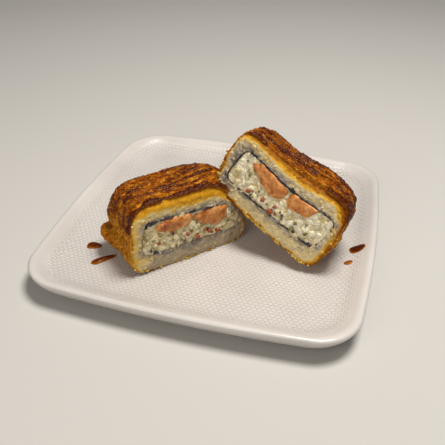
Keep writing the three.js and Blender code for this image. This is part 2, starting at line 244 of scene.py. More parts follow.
# place, turn: from the half's own s along the cut, v into the half and w up, to the part
# outline, pocket: corners of the cut and of its recess: s, w, how far off the curve starts
# rounding, pull: how far before the back the crust starts to curve in, and how far in it comes
# middle: what the rings shrink towards; openSide: 1 for nori that opens at low s, -1 at high s
# bulges: a flare or shoulder: s, v, w, how far out, how wide, how tall above and below, and the
#   power of the fall in height
# rim: the fried rim on the cut by side: how far it is full gold, where it has faded, and how
#   much oil the rice beyond it has taken up; ragged: how uneven that is; goldDepth: how strong
# crisp: how wide the crust shows on the cut; rimGold, lowEndGlowWidth: how gold the crust's own edge is,
#   and how much wider that gold is at the low end, which is partly fried gold and partly painted
#   light bounced up from the plate
# sauceLow: where sauce on the open end stops; soaked: how much has sunk in; firstStrand: half
#   the width of the strand nearest to the cut, by s; bare: how far from the cut the sauce
#   begins, by s; dabs: dark spots over the crust, as sauce run over the flare and as darker
#   patches along the end's back edge: s, v, w, how wide
# toastTop, toastBelow, toastCut, sauceCut: how toasted or dark each part is; the darker underside
#   is painted shade where the half sits on the plate
# noriOpen: the gap in the tube, by w; noriShown, noriTo: from which w and to which s its edge
#   shows, but for noriHidden: s, w, how wide, how tall
# dampTop: how much damper the rice is above; creamTone: how pale the filling is, which also scales
#   the painted shade in the crevices of its cream
halves = {
    "left": {
        "place": (-7.6, -42.75, 9.5), "turn": (0, 0, 48.2), "seed": 3,
        "depth": 41.2, "rounding": 15.2, "pull": (24, 7.5), "middle": (-2, 25), "openSide": 1,
        "outline": [(-44, 2.2, 8), (-8, 0, 14), (40, 0, 9), (42.5, 18, 10), (20, 50.5, 15),
                    (-44.5, 50.5, 16)],
        "pocket": [(-38, 13, 8), (33, 12, 6), (37, 20, 5), (24, 35.5, 6), (-36, 39, 7)], "pocketDepth": 31,
        "bulges": [(-43, 38, 17, 11, 14, 2.6, 8, 2), (-40, 36, 31, 3.4, 9, 9, 9, 2),
                   (26.2, 21, 43.3, 7.8, 13.2, 14, 14, 4)],
        "rim": {"top": (5.0, 12.5, 0.34), "bottom": (-1, 1.5, 0), "minus": (-0.5, 5.5, 0.5),
                "plus": (0.6, 3.5, 0.1)},
        "ragged": 1.5, "goldDepth": 0.8, "crisp": 0.9, "rimGold": 0.85, "lowEndGlowWidth": 8,
        "sauceLow": 32, "soaked": 0.25, "bare": [(-50, 0.3), (50, 0.3)],
        "firstStrand": [(-50, 1.3), (-44, 1.7), (-30, 2.3), (-12, 2.3), (4, 2.5), (20, 2.4), (40, 1.6)],
        "dabs": [(-47, 40.5, 18, 2.6), (-45, 37, 19, 2.6), (-44, 40, 18.8, 2.8), (-43.2, 32.5, 20.6, 2.6),
                 (-50, 37.5, 17.4, 1.8), (-43, 35, 28, 4), (-43, 35, 34, 4), (-41, 35, 40, 4)],
        "toastTop": 0.5, "toastBelow": 0.9, "toastCut": 0.0, "sauceCut": 0.0,
        "noriOpen": (17, 35), "noriShown": 31, "noriTo": 22, "noriHidden": [],
        "dampTop": 0.5, "creamTone": 0.55, "edgeCrumbs": 150,
    },
    "right": {
        "place": (40.1, -23.5, 56.15), "turn": (-15.9, 24.1, -16), "seed": 8,
        "depth": 43.5, "rounding": 24, "pull": (21.3, 8.4), "middle": (3, -2), "openSide": -1,
        "outline": [(-37, -21.5, 9), (5, -26, 20), (47.5, -27, 9), (50.5, -4, 9), (44.5, 22.5, 12),
                    (3, 19.5, 20), (-38.5, 24, 10), (-41.5, 4, 10)],
        "pocket": [(-34, -13, 8), (41, -15, 8), (43.5, 11, 8), (6, 9.5, 10), (-32, 14.5, 9)],
        "pocketDepth": 32, "bulges": [(16.8, 18.9, 19, 5.9, 21.7, 14, 14, 4)],
        "rim": {"top": (1.8, 7.6, 0.17), "bottom": (-3, 5.5, 0.17), "minus": (-0.4, 3, 0.03),
                "plus": (0.6, 7, 0.18)},
        "ragged": 1.9, "goldDepth": 1.2, "crisp": 3.0, "rimGold": 0.1, "lowEndGlowWidth": 0,
        "sauceLow": 12, "soaked": 0.3, "dabs": [],
        "bare": [(-42, 0.3), (-27, 0.3), (-20, 1.2), (0, 0.9), (20, 0.7), (27, 0.3), (50, 0.3)],
        "firstStrand": [(-42, 1.0), (-34, 2.0), (-26, 1.7), (-18, 0.1), (0, 0.4), (12, 0.1), (22, 0.4),
                        (30, 2.1), (42, 2.3), (50, 1.3)],
        "toastTop": 0.9, "toastBelow": 0.2, "toastCut": 1.0, "sauceCut": 0.5,
        "noriOpen": (-10, 8), "noriShown": -18, "noriTo": 60,
        "noriHidden": [(45, -2, 5, 9), (25.5, -15, 3, 4), (41, -16, 3, 5)],
        "dampTop": 0.3, "creamTone": 1.0, "edgeCrumbs": 420,
    },
}


def turnMatrix(degrees):
    x, y, z = (math.radians(d) for d in degrees)
    turned = Matrix.Rotation(z, 3, "Z") @ Matrix.Rotation(y, 3, "Y") @ Matrix.Rotation(x, 3, "X")
    return np.array(turned)


def toPart(half, local):
    # a half's own (s, v, w) to the part's (x, y, z), in millimetres
    return local @ turnMatrix(half["turn"]).T + np.array(half["place"])


def toHalf(half, points):
    return (points - np.array(half["place"])) @ turnMatrix(half["turn"])


def cutOutline(half, count):
    outline = evenOutline(half["outline"], count)
    return outline, outwardNormals(outline)


def reachEnd(half):
    # over the crust to where the flat back starts: straight in, then a quarter circle
    return half["depth"] + half["rounding"] * (np.pi / 2 - 1)


def backMiddle(half):
    return onCut(np.array(half["middle"]), half["depth"])


def ringScale(half, bend):
    # a ring shrinks about the middle by 1 - pull (1 - cos bend) / span as it goes round the back
    span = np.abs(np.array([c[:2] for c in half["outline"]]) - half["middle"]).max(0)
    return 1 - np.array(half["pull"]) * (1 - np.cos(bend))[..., None] / span


def upperShare(normals):
    return smoothStep(-0.2, 0.4, normals[..., 1])


def fallBack(normals, away, width, power):
    # drop (1 - away / width)^power, less on the lower side
    low = shoulder["lowShare"]
    drop = shoulder["drop"] * (low + (1 - low) * upperShare(normals))
    return drop * np.clip(1 - away / width, 0, 1) ** power


def crustPoint(half, base, normal, reach, relief):
    # base, normal: the cut's outline and its normals; reach: how far over the crust from the
    # cut; relief: how far out of the plain surface. v is reach up to flat, and then
    # flat + (rounding + out) sin bend; across it, the ring's scaled point + normal out cos bend
    flat = half["depth"] - half["rounding"]
    middle = np.array(half["middle"])
    bend = np.clip((reach - flat) / half["rounding"], 0, np.pi / 2)
    edge = np.clip(1 - reach / shoulder["roundedOver"], 0, 1) ** 2
    out = relief - shoulder["rounded"] * edge * upperShare(normal)
    plane = middle + (base - middle) * ringScale(half, bend) + normal * (out * np.cos(bend))[..., None]
    v = np.minimum(reach, flat) + (half["rounding"] + out) * np.sin(bend)
    width = shoulder["crustWidth"]
    least = fallBack(normal, reach, width, 1) + shoulder["slope"] * np.minimum(reach, width)
    return onCut(plane, np.maximum(v, least))


def crustFrame(half, base, normal, reach, relief):
    # points of the crust, and the direction out of it at each
    center = crustPoint(half, base, normal, reach, relief)
    return center, unit(crustPoint(half, base, normal, reach, relief + 1) - center)


def bulgeOut(half, base, normal, reach):
    # a bell round each bulge: amount exp(-(d / wide)^2 - |(w - w0) / tall|^power)
    p = crustPoint(half, base, normal, reach, 0 * reach)
    out = 0
    for s, v, w, amount, wide, above, below, power in half["bulges"]:
        across = ((p[..., 0] - s) ** 2 + (p[..., 1] - v) ** 2) / wide ** 2
        tall = np.where(p[..., 2] > w, above, below)
        out = out + amount * np.exp(-across - np.abs((p[..., 2] - w) / tall) ** power)
    return out


def openEnd(half, normals, low, high):
    # 1 over the end that the nori opens to, from one slant of the outline to another
    return smoothStep(low, high, -normals[..., 0] * half["openSide"])


def rimFade(half, normals, toEdge):
    # 1 at the crust, falling evenly to what the rice beyond holds; each side has its own widths
    n = normals
    share = np.stack([n[..., 1].clip(0) ** 2, n[..., 1].clip(None, 0) ** 2,
                      n[..., 0].clip(None, 0) ** 2, n[..., 0].clip(0) ** 2], -1)
    widths = share @ np.array([half["rim"][k] for k in ("top", "bottom", "minus", "plus")])
    level = (widths[..., 1] - toEdge) / (widths[..., 1] - widths[..., 0])
    return np.clip(np.maximum(level, widths[..., 2]), 0, 1)


# the press works from ahead of the right half's cut to behind its back, and this far to its sides
pressLook = {"columns": 360, "ahead": 2, "behind": 1, "within": (58, 36), "leastScale": 0.2}


def pressAway(points, gap):
    # pushes points of the left half out of the right half, across the right half's length, by
    # gap - their distance outside its ring
    right, look = halves["right"], pressLook
    local = toHalf(right, points.reshape(-1, 3))
    flat = right["depth"] - right["rounding"]
    scale = ringScale(right, np.arcsin(np.clip((local[:, 1] - flat) / right["rounding"], 0, 1)))
    middle = np.array(right["middle"])
    outline, normals = cutOutline(right, look["columns"])
    unscaled = middle + (local[:, [0, 2]] - middle) / np.maximum(scale, look["leastScale"])
    near = (local[:, 1] > -look["ahead"]) & (local[:, 1] < right["depth"] + look["behind"])
    near &= (np.abs(unscaled - middle) < look["within"]).all(1)
    index = np.flatnonzero(near)
    d = unscaled[index, None] - outline[None]
    nearest = (d ** 2).sum(-1).argmin(1)
    depth = gap - (d[np.arange(len(index)), nearest] * normals[nearest]).sum(-1)
    push = np.clip(depth, 0, None)[:, None] * normals[nearest] * scale[index]
    local[index, 0] += push[:, 0]
    local[index, 2] += push[:, 1]
    return toPart(right, local).reshape(points.shape)


# materials

def porcelainGlaze(tree, place):
    # pressed dashes of 3.4 x 2.5 mm, each row half a dash along, that fade out below the lip
    cloud = addNode(tree, "TexNoise", {"Scale": 1 / (40 * mm), "Detail": 2}, {"Vector": place})
    tint = addNode(tree, "ValToRGB", links={"Fac": cloud}, stops=[(0.35, "#cbc6c1"), (0.7, "#d4cfca")])
    dashes = addNode(tree, "TexBrick", {
        "offset": 0.5, "Scale": 1.0, "Brick Width": 3.4 * mm, "Row Height": 2.5 * mm,
        "Mortar Size": 0.5 * mm, "Mortar Smooth": 1.0, "Color1": (1, 1, 1, 1), "Color2": (1, 1, 1, 1),
        "Mortar": (0, 0, 0, 1)}, {"Vector": place})
    height = addNode(tree, "Math", {"operation": "MULTIPLY"}, {0: dashes, 1: "weave"})
    bump = addNode(tree, "Bump", {"Strength": 1.0, "Distance": 0.35 * mm}, {"Height": height})
    return {"Base Color": tint, "Normal": bump}


def mottle(tree, place, large, small, share):
    # noise of two sizes in millimetres, added; share is the part of the large one
    wide, fine = (addNode(tree, "TexNoise", {"Scale": 1 / (size * mm), "Detail": 3}, {"Vector": place})
                  for size in (large, small))
    part = addNode(tree, "Math", {"operation": "MULTIPLY", 1: 1 - share}, {0: fine})
    return addNode(tree, "Math", {"operation": "MULTIPLY_ADD", 1: share}, {0: wide, 2: part})


def crustColor(tree, place):
    # golden crumb with browner patches of 5 mm and specks of 1.3 mm; toasted browner at the end and the
    # flare, and dark brown where sauce has soaked in. The toast share also paints the underside and the
    # end's folds browner as painted shade, and the sauce share paints shade towards the back
    spots = mottle(tree, place, 5, 1.3, 0.45)
    fried, toasted, glazed = (addNode(tree, "ValToRGB", links={"Fac": spots}, stops=stops) for stops in (
        [(0.36, "#7a3c04"), (0.46, "#aa660c"), (0.54, "#c4861c"), (0.64, "#dca63e")],
        [(0.36, "#703404"), (0.46, "#a25a0a"), (0.55, "#be7412"), (0.66, "#d08e20")],
        [(0.36, "#481802"), (0.48, "#743404"), (0.58, "#9c5608"), (0.68, "#bb7c12")]))
    # the toast share also carries painted shade on the underside and in the end's folds
    baked = addNode(tree, "Mix", {"data_type": "RGBA"}, {"Factor": "toast", 6: fried, 7: toasted})
    return addNode(tree, "Mix", {"data_type": "RGBA"},
                   {"Factor": "sauce", 6: baked.outputs[2], 7: glazed}).outputs[2]


def riceColor(tree, place):
    # from the crust inwards: gold, pale yellow, cream, waxy grey-white; blue-grey beside the nori
    spots = mottle(tree, place, 4, 1.2, 0.5)
    shade = addNode(tree, "Math", {"operation": "MULTIPLY_ADD", 1: 0.9, 2: -0.45}, {0: spots})
    level = addNode(tree, "Math", {"operation": "ADD"}, {0: "golden", 1: shade})
    oiled = addNode(tree, "ValToRGB", links={"Fac": level}, stops=[
        (0.0, "#ad9c82"), (0.18, "#d3c095"), (0.34, "#e2cc8c"), (0.48, "#dcb052"), (0.64, "#d8a434"),
        (0.8, "#d0941e"), (1.0, "#986410")])
    wet = addNode(tree, "ValToRGB", links={"Fac": spots},
                  stops=[(0.4, "#5f5b5c"), (0.54, "#98938f"), (0.66, "#c4bbab")])
    return addNode(tree, "Mix", {"data_type": "RGBA"}, {"Factor": "damp", 6: oiled, 7: wet}).outputs[2]


def friedShell(tree, place):
    # crust outside and rice inside, with crumb of 0.8 mm
    both = {"Factor": "crust", 6: riceColor(tree, place), 7: crustColor(tree, place)}
    crumbs = addNode(tree, "TexNoise", {"Scale": 1 / (0.8 * mm), "Detail": 3}, {"Vector": place})
    bump = addNode(tree, "Bump", {"Strength": 0.6, "Distance": 0.35 * mm}, {"Height": crumbs})
    return {"Base Color": addNode(tree, "Mix", {"data_type": "RGBA"}, both).outputs[2], "Normal": bump}


def friedFlakes(tree, place):
    pale = addNode(tree, "ValToRGB", links={"Fac": mottle(tree, place, 3, 1, 0.5)},
                   stops=[(0.35, "#b87c18"), (0.65, "#dfae4c")])
    own = {"Factor": "tone", 6: crustColor(tree, place), 7: pale}
    return {"Base Color": addNode(tree, "Mix", {"data_type": "RGBA"}, own).outputs[2]}


def softCrumbs(tree, place):
    return {"Base Color": addNode(tree, "ValToRGB", links={"Fac": "tone"},
                                  stops=[(0.0, "#a67c24"), (0.5, "#cfa944"), (1.0, "#e4ca72")])}


def steamedRice(tree, place):
    return {"Base Color": riceColor(tree, place)}


def sauceGlaze(tree, place):
    # amber where thin, by depth and streaks of 3 mm; puckers of 1.1 mm where it has a skin
    streaks = addNode(tree, "TexNoise", {"Scale": 1 / (3 * mm), "Detail": 3}, {"Vector": place})
    uneven = addNode(tree, "Math", {"operation": "MULTIPLY_ADD", 1: 0.7, 2: -0.35}, {0: streaks})
    level = addNode(tree, "Math", {"operation": "ADD"}, {0: "depth", 1: uneven})
    color = addNode(tree, "ValToRGB", links={"Fac": level},
                    stops=[(0.0, "#b0740f"), (0.3, "#8a4a08"), (0.65, "#602804"), (1.0, "#411702")])
    skin = addNode(tree, "TexNoise", {"Scale": 1 / (1.1 * mm), "Detail": 2}, {"Vector": place})
    pucker = addNode(tree, "Math", {"operation": "MULTIPLY"}, {0: skin, 1: "skin"})
    bump = addNode(tree, "Bump", {"Strength": 1.0, "Distance": 0.5 * mm}, {"Height": pucker})
    return {"Base Color": color, "Normal": bump}


def seaweedSheet(tree, place):
    # fibres of 1.8 mm under a purple-grey bloom
    fibres = addNode(tree, "TexNoise", {"Scale": 1 / (1.8 * mm), "Detail": 4}, {"Vector": place})
    color = addNode(tree, "ValToRGB", links={"Fac": fibres},
                    stops=[(0.38, "#16161a"), (0.55, "#34313a"), (0.7, "#6a626c")])
    bump = addNode(tree, "Bump", {"Strength": 0.5, "Distance": 0.2 * mm}, {"Height": fibres})
    return {"Base Color": color, "Normal": bump}


def creamMix(tree, place, size, stops):
    # tone, which is the height on the cut or a lump's own, and noise of one size; curd of 1.1 mm. The
    # height on the cut makes the raised lumps paler and the crevices darker: painted shade
    patches = addNode(tree, "TexNoise", {"Scale": 1 / (size * mm), "Detail": 3}, {"Vector": place})
    level = addNode(tree, "Math", {"operation": "MULTIPLY_ADD", 1: 0.6}, {0: patches, 2: "tone"})
    color = addNode(tree, "ValToRGB", links={"Fac": level}, stops=stops)
    curd = addNode(tree, "TexNoise", {"Scale": 1 / (1.1 * mm), "Detail": 3}, {"Vector": place})
    bump = addNode(tree, "Bump", {"Strength": 0.7, "Distance": 0.4 * mm}, {"Height": curd})
    return {"Base Color": color, "Normal": bump}


def salmonSlice(tree, place):
    # faint fat lines 3.2 mm apart, a wave of 2 pi / 20 per unit of its scale, on mottled flesh
    patches = mottle(tree, place, 7, 2, 0.6)
    flesh = addNode(tree, "ValToRGB", links={"Fac": patches},
                    stops=[(0.38, "#9a521a"), (0.5, "#c67c36"), (0.6, "#e0a264")])
    fat = addNode(tree, "TexWave", {"Scale": 2 * math.pi / 20 / (3.2 * mm), "Distortion": 9.0,
                                    "Detail": 2.0, "Detail Scale": 1.5}, {"Vector": place})
    lines = addNode(tree, "Math", {"operation": "MULTIPLY", 1: 0.2}, {0: fat})
    pale = addNode(tree, "ValToRGB", links={"Fac": patches}, stops=[(0.3, "#d99a62"), (0.7, "#e6b788")])
    color = addNode(tree, "Mix", {"data_type": "RGBA"}, {"Factor": lines, 6: flesh, 7: pale})
    return {"Base Color": color.outputs[2]}


def dicedBit(tree, place, low, high):
    # one colour with a darker side
    patches = addNode(tree, "TexNoise", {"Scale": 1 / (1.5 * mm), "Detail": 2}, {"Vector": place})
    return {"Base Color": addNode(tree, "ValToRGB", links={"Fac": patches}, stops=[(0.4, low), (0.6, high)])}


def foodValues(roughness, ior, gloss=0.5, clear=0.0, depth=1.0, radius=(1.0, 0.2, 0.1)):
    # clear: how much of the light sinks in; depth: how far, in millimetres; radius: by colour
    return {"Roughness": roughness, "IOR": ior, "Specular IOR Level": gloss, "Subsurface Weight": clear,
            "Subsurface Scale": depth * mm, "Subsurface Radius": radius}


waxy = (1.0, 0.75, 0.45)     # red light goes deepest into rice and cream
# values, the function that adds the pattern, and what that is given
finishes = {
    # glazed porcelain, pressed and fired: hard, warm white, wet gloss
    "glazedPorcelain": ({"Roughness": 0.25, "IOR": 1.5, "Coat Weight": 0.3, "Coat Roughness": 0.1},
                        porcelainGlaze),
    # pressed sushi rice, rolled in crumb and deep fried, then cut: golden outside, waxy inside
    "friedRiceShell": (foodValues(0.5, 1.45, 0.1, 0.12, 1.5, waxy), friedShell),
    # loose crumb fried hard: dry, each flake its own shade of gold
    "friedCrumbFlakes": (foodValues(0.5, 1.45, 0.12), friedFlakes),
    # soft crumb that took little heat: yellow, a little green in the shade
    "paleCrumbs": (foodValues(0.6, 1.45, 0.2, 0.2, 0.8), softCrumbs),
    # steamed short-grain rice: waxy and slightly see-through
    "steamedRiceGrains": (foodValues(0.35, 1.4, 0.35, 0.25, 1.2, (1.0, 0.8, 0.55)), steamedRice),
    # soy, sugar and starch reduced to a glaze: dark brown, amber where thin; it dries with a
    # puckered skin, which breaks the gloss into small glints
    "brownSauceGlaze": (foodValues(0.17, 1.42, 0.22, 0.1, 0.8, (1.0, 0.35, 0.1)), sauceGlaze),
    # laver dried in sheets, gone damp in the rice: near black with a purple-grey bloom, satin
    "dampNori": (foodValues(0.5, 1.4), seaweedSheet),
    # cream cheese and crab sticks mixed by hand: matt and soft; its crevices are painted dark, as painted
    # shade
    "creamAndCrabMix": (foodValues(0.55, 1.42, 0.15, 0.25, 1.5, waxy), creamMix, 3,
                        [(0.2, "#b8a068"), (0.42, "#d8c490"), (0.7, "#efe0b8"), (1.0, "#f6ecd2")]),
    "tornCrabStick": (foodValues(0.55, 1.42, 0.15, 0.25, 1.5, waxy), creamMix, 2,
                      [(0.2, "#d2c08e"), (0.6, "#e9daae"), (1.0, "#f6ebcc")]),
    # raw salmon sliced across its muscle, warmed by the frying: dull orange flesh
    "salmonFlesh": (foodValues(0.4, 1.4, 0.4, 0.2, 1.5, (1.0, 0.45, 0.25)), salmonSlice),
    # small diced pieces: moist
    "redPepperDice": (foodValues(0.4, 1.4, 0.5, 0.15, 1), dicedBit, "#7c3a1e", "#aa5f3a"),
    "chivePieces": (foodValues(0.4, 1.4, 0.5, 0.15, 1), dicedBit, "#5c5b32", "#928854"),
    "noriShreds": (foodValues(0.4, 1.4, 0.5, 0.15, 1), dicedBit, "#1a181b", "#4a4147"),
}
materials = {name: newMaterial(name, *finish) for name, finish in finishes.items()}
print("materials made")

# the plate

plateShape = {
    "halfSide": 110, "sideSag": 3.3, "straight": 80.5, "sideShare": 0.33,
    # the section from the middle of the well to over the lip: inset from the edge, height
    "section": [(110, 9.2), (20.5, 9.2), (16.5, 9.7), (12.5, 11.3), (8, 14.6), (4.4, 17.5), (2.4, 18),
                (0.8, 17.8), (0, 16.8)],
    # down the wall to the foot and back under the well
    "wall": [(0, 16.8), (0.6, 14.2), (2.2, 11), (4.6, 7.6), (9, 4.6), (14, 3.2), (15, 0), (19, 0), (20, 3.8),
             (60, 3.8)],
    "gridSteps": 100, "wallRows": 20, "blend": 1.5, "weaveFrom": 6, "weaveTo": 12,
}
plateEdgeEnd = plateShape["halfSide"] - plateShape["sideSag"]
plateSlope = math.atan(2 * plateShape["sideSag"] / plateShape["straight"])
cornerRadius = (plateEdgeEnd - plateShape["straight"]) / (math.cos(plateSlope) - math.sin(plateSlope))
cornerMiddle = plateEdgeEnd - cornerRadius * math.cos(plateSlope)


def plateEdge(turn):
    # the edge for turn from 0 to 1: x = halfSide - sag (y / straight)^2 along a side, arcs at corners
    p = plateShape
    quarter = np.floor(turn * 4 + 0.5)
    t = np.abs(turn * 4 - quarter)
    side = np.sign(turn * 4 - quarter)
    sideShare = p["sideShare"]
    y = np.minimum(t / sideShare, 1) * p["straight"]
    angle = plateSlope + np.clip((t - sideShare) / (0.5 - sideShare), 0, 1) * (np.pi / 4 - plateSlope)
    x = np.where(t < sideShare, p["halfSide"] - p["sideSag"] * (y / p["straight"]) ** 2,
                 cornerMiddle + cornerRadius * np.cos(angle))
    y = np.where(t < sideShare, y, cornerMiddle + cornerRadius * np.sin(angle)) * side
    turned = quarter * np.pi / 2
    return np.stack([x * np.cos(turned) - y * np.sin(turned), x * np.sin(turned) + y * np.cos(turned)], -1)


def plateHeight(inset):
    # the section's straight steps, averaged over a short way to each side
    section = np.array(plateShape["section"])[::-1]
    shifts = np.linspace(-1, 1, 9) * plateShape["blend"] * smoothStep(1, 5, inset)[..., None]
    return np.interp(inset[..., None] + shifts, section[:, 0], section[:, 1]).mean(-1)


def plateShare(x, y):
    # how large a copy of the plate's edge passes through each point: the roots of the side's
    # and the corner's own equations
    p = plateShape
    a, b = np.maximum(np.abs(x), np.abs(y)), np.minimum(np.abs(x), np.abs(y))
    bow = 4 * p["halfSide"] * p["sideSag"] * (b / p["straight"]) ** 2
    side = (a + np.sqrt(a * a + bow)) / (2 * p["halfSide"])
    square = 2 * cornerMiddle ** 2 - cornerRadius ** 2
    linear = 2 * cornerMiddle * (a + b)
    corner = (linear - np.sqrt(np.maximum(linear ** 2 - 4 * square * (a * a + b * b), 0))) / (2 * square)
    return np.where(b <= a * p["straight"] / plateEdgeEnd, side, corner)


def plateTop(x, y):
    return plateHeight(plateShape["halfSide"] * (1 - plateShare(x, y)))


def buildPlate():
    # top: (ring / steps) plateEdge(turn), at the section's height for that inset; a square grid
    # whose square rings become copies of the edge, so it has no pole
    p = plateShape
    n = p["gridSteps"]
    a, b = np.meshgrid(np.arange(-n, n + 1), np.arange(-n, n + 1), indexing="xy")
    ring = np.maximum(np.abs(a), np.abs(b))
    safe = np.maximum(ring, 1)
    turn = np.select([a == ring, b == ring, a == -ring],
                     [b / safe / 8, 0.25 - a / safe / 8, 0.5 - b / safe / 8], 0.75 + a / safe / 8)
    flat = plateEdge(turn % 1) * (ring / n)[..., None]
    inset = p["halfSide"] * (1 - ring / n)
    top = np.stack([flat[..., 0], flat[..., 1], plateHeight(inset)], -1).reshape(-1, 3)
    size = 2 * n + 1
    # the rim in order round the edge, from the middle of the right side
    rimIndex = np.concatenate([
        np.arange(n, 2 * n) * size + 2 * n, 2 * n * size + np.arange(2 * n, 0, -1),
        np.arange(2 * n, 0, -1) * size, np.arange(0, 2 * n), np.arange(0, n) * size + 2 * n])
    # wall: the rim scaled by 1 - inset / halfSide, at the wall's height
    wall = np.array(p["wall"], float)
    length = lengthAlong(wall)
    at = np.unique(np.concatenate([np.linspace(0, length[-2], p["wallRows"]), length[4:]]))[1:]
    shares = 1 - np.interp(at, length, wall[:, 0])[:, None, None] / p["halfSide"]
    heights = np.interp(at, length, wall[:, 1])[:, None, None]
    columns = len(rimIndex)
    around = np.broadcast_to(heights, (len(at), columns, 1))
    wallPoints = np.concatenate([top[rimIndex, :2][None] * shares, around], -1).reshape(-1, 3)
    count = len(top)
    following = (np.arange(columns) + 1) % columns
    firstRow = np.stack([rimIndex, count + np.arange(columns), count + following, rimIndex[following]], -1)
    last = count + len(wallPoints) - columns
    points = np.concatenate([top, wallPoints, [[0, 0, wall[-1, 1]]]])
    faces = np.concatenate([openFaces(2 * n)[:, [0, 3, 2, 1]], firstRow, gridFaces(len(at), columns, count),
                            fanFaces(last, columns, last + columns)])
    weave = np.zeros(len(points))
    weave[:count] = smoothStep(p["weaveFrom"], p["weaveTo"], inset).ravel()
    addPiece("plateGlazed", points, faces, materials["glazedPorcelain"], "plate",
             {"weave": weave})


buildPlate()
print("plate built")

# the crust and rice of a half

gaps = {"halves": 0.7, "plate": 0.3}
# ribShade: how much darker the end's folds are painted than their ridges, as painted shade
crustLook = {"toastEnd": 0.3, "toastBack": 0.4, "patch": 7, "ribWide": 2.6, "ribTall": 10, "ribs": 0.9,
             "ribShade": 1.1}
shellLook = {
    "columns": 420, "reachStep": 0.46, "faceRows": 34, "backRows": 22, "pocketRows": 8, "pocketLip": 0.6,
    "dampReach": 3.2, "dampMost": 0.8,
}
# pitch, wander, firstReach: how the strands are spaced, how far they swing and where the first
#   lies; stain: how wide each has soaked in; low to high, thinLow to thinHigh: half their widths
# stray: how far the thin ones wander more; ends, taper: where they end and over how much they
#   thin; lift, height: how high they lie and how tall they are for their width
sauceLook = {
    "pitch": 4.3, "wander": 1.3, "firstReach": 2.6, "stain": 1.55,
    "low": 0.9, "high": 1.6, "thinLow": 0.4, "thinHigh": 0.9, "thinnest": 0.02,
    "stray": 1.4, "ends": 9, "taper": 6, "lift": 0.25, "height": 0.62, "lumps": 0.38, "lumpSize": 1.3,
    "deepWidth": 1.3, "columns": 900, "sides": 10,
}


def pressedTogether(half, points):
    # the left half gives way to the right one, and nothing sinks into the plate
    placed = toPart(half, points)
    if half is halves["left"]:
        placed = pressAway(placed, gaps["halves"])
    placed[..., 2] = np.maximum(placed[..., 2], plateTop(placed[..., 0], placed[..., 1]) + gaps["plate"])
    return placed


def addFood(kind, side, points, faces, material, slot, node, **attributes):
    # a piece in a half's own directions, named after its side as its CAD node is
    placed = pressedTogether(halves[side], points)
    addPiece(f"{kind}_{side}", placed, faces, materials[material], f"{node}_{side}", attributes)


def sauceCover(half, base, normal):
    # all over the top, and part way down the end where the nori is open
    low = half["sauceLow"]
    end = openEnd(half, normal, 0.3, 0.8) * smoothStep(low - 4, low + 2, base[..., 1])
    return np.maximum(smoothStep(0.25, 0.6, normal[..., 1]), end)


def strandCount(half):
    return round((reachEnd(half) - 5) / sauceLook["pitch"])


def strandReach(half, base, k, count):
    # an even spacing and a swing of wander (sin(s / 9 + 0.9 k + seed) + sin(s / 4.3 - 1.7 k) / 2)
    first = sauceLook["firstReach"]
    s = base[..., 0]
    swing = np.sin(s / 9 + 0.9 * k + half["seed"]) + 0.5 * np.sin(s / 4.3 - 1.7 * k)
    swing = swing * (0.3 if k == 0 else 1)
    return first + (reachEnd(half) - first) * k / count + sauceLook["wander"] * swing


def endRibs(half, base, normal, reach):
    # upright folds in the crust of the end that the nori opens to
    wide, tall = crustLook["ribWide"], crustLook["ribTall"]
    ribs = valueNoise(asPoints(base[..., 0] / wide, reach / wide, base[..., 1] / tall), 1, 15)
    return openEnd(half, normal, 0.4, 0.9) * ribs


def crustRelief(half, base, normal, reach):
    # crumb: noise of 6, 2.4 and 1.1 mm and the ribs; none on the underside or at the knife's edge
    p = onCut(base, reach)
    crumb = noises(p, (0.5, 6.0, 1), (0.4, 1.1, 3)) + 0.8 * np.abs(valueNoise(p, 2.4, 2)) - 0.15
    crumb = crumb + crustLook["ribs"] * endRibs(half, base, normal, reach)
    return crumb * smoothStep(-0.95, -0.6, normal[..., 1]) * smoothStep(-0.3, 1.2, reach)


def toastShare(half, base, normal, reach):
    # browner over the end that the nori opens to and round the back, and by each half's own amounts over
    # the top and below; the darker underside is painted shade where the half sits on the plate, and the
    # end's folds are painted browner than its ridges, also as painted shade
    end = crustLook["toastEnd"] * openEnd(half, normal, 0.2, 0.8)
    top = half["toastTop"] * smoothStep(0.2, 0.7, normal[..., 1])
    # painted shade: the underside is darkened where the half sits on the plate
    below = half["toastBelow"] * smoothStep(0.3, 0.8, -normal[..., 1])
    patches = noises(onCut(base, reach), (0.5, crustLook["patch"], 14))
    # painted shade: the end's folds darker and its ridges paler, following its relief
    ribs = crustLook["ribShade"] * endRibs(half, base, normal, reach)
    level = np.maximum(np.maximum(end, top), below) + patches - ribs
    return np.clip(level * smoothStep(0, 2, reach), 0, 1)


def dabShare(half, points):
    # dark spots over the crust, a bell round each: sauce run over the flare, and darker patches along the
    # end's back edge
    share = np.zeros(points.shape[:-1])
    for s, v, w, wide in half["dabs"]:
        share = np.maximum(share, np.exp(-(((points - [s, v, w]) / wide) ** 2).sum(-1)))
    return share


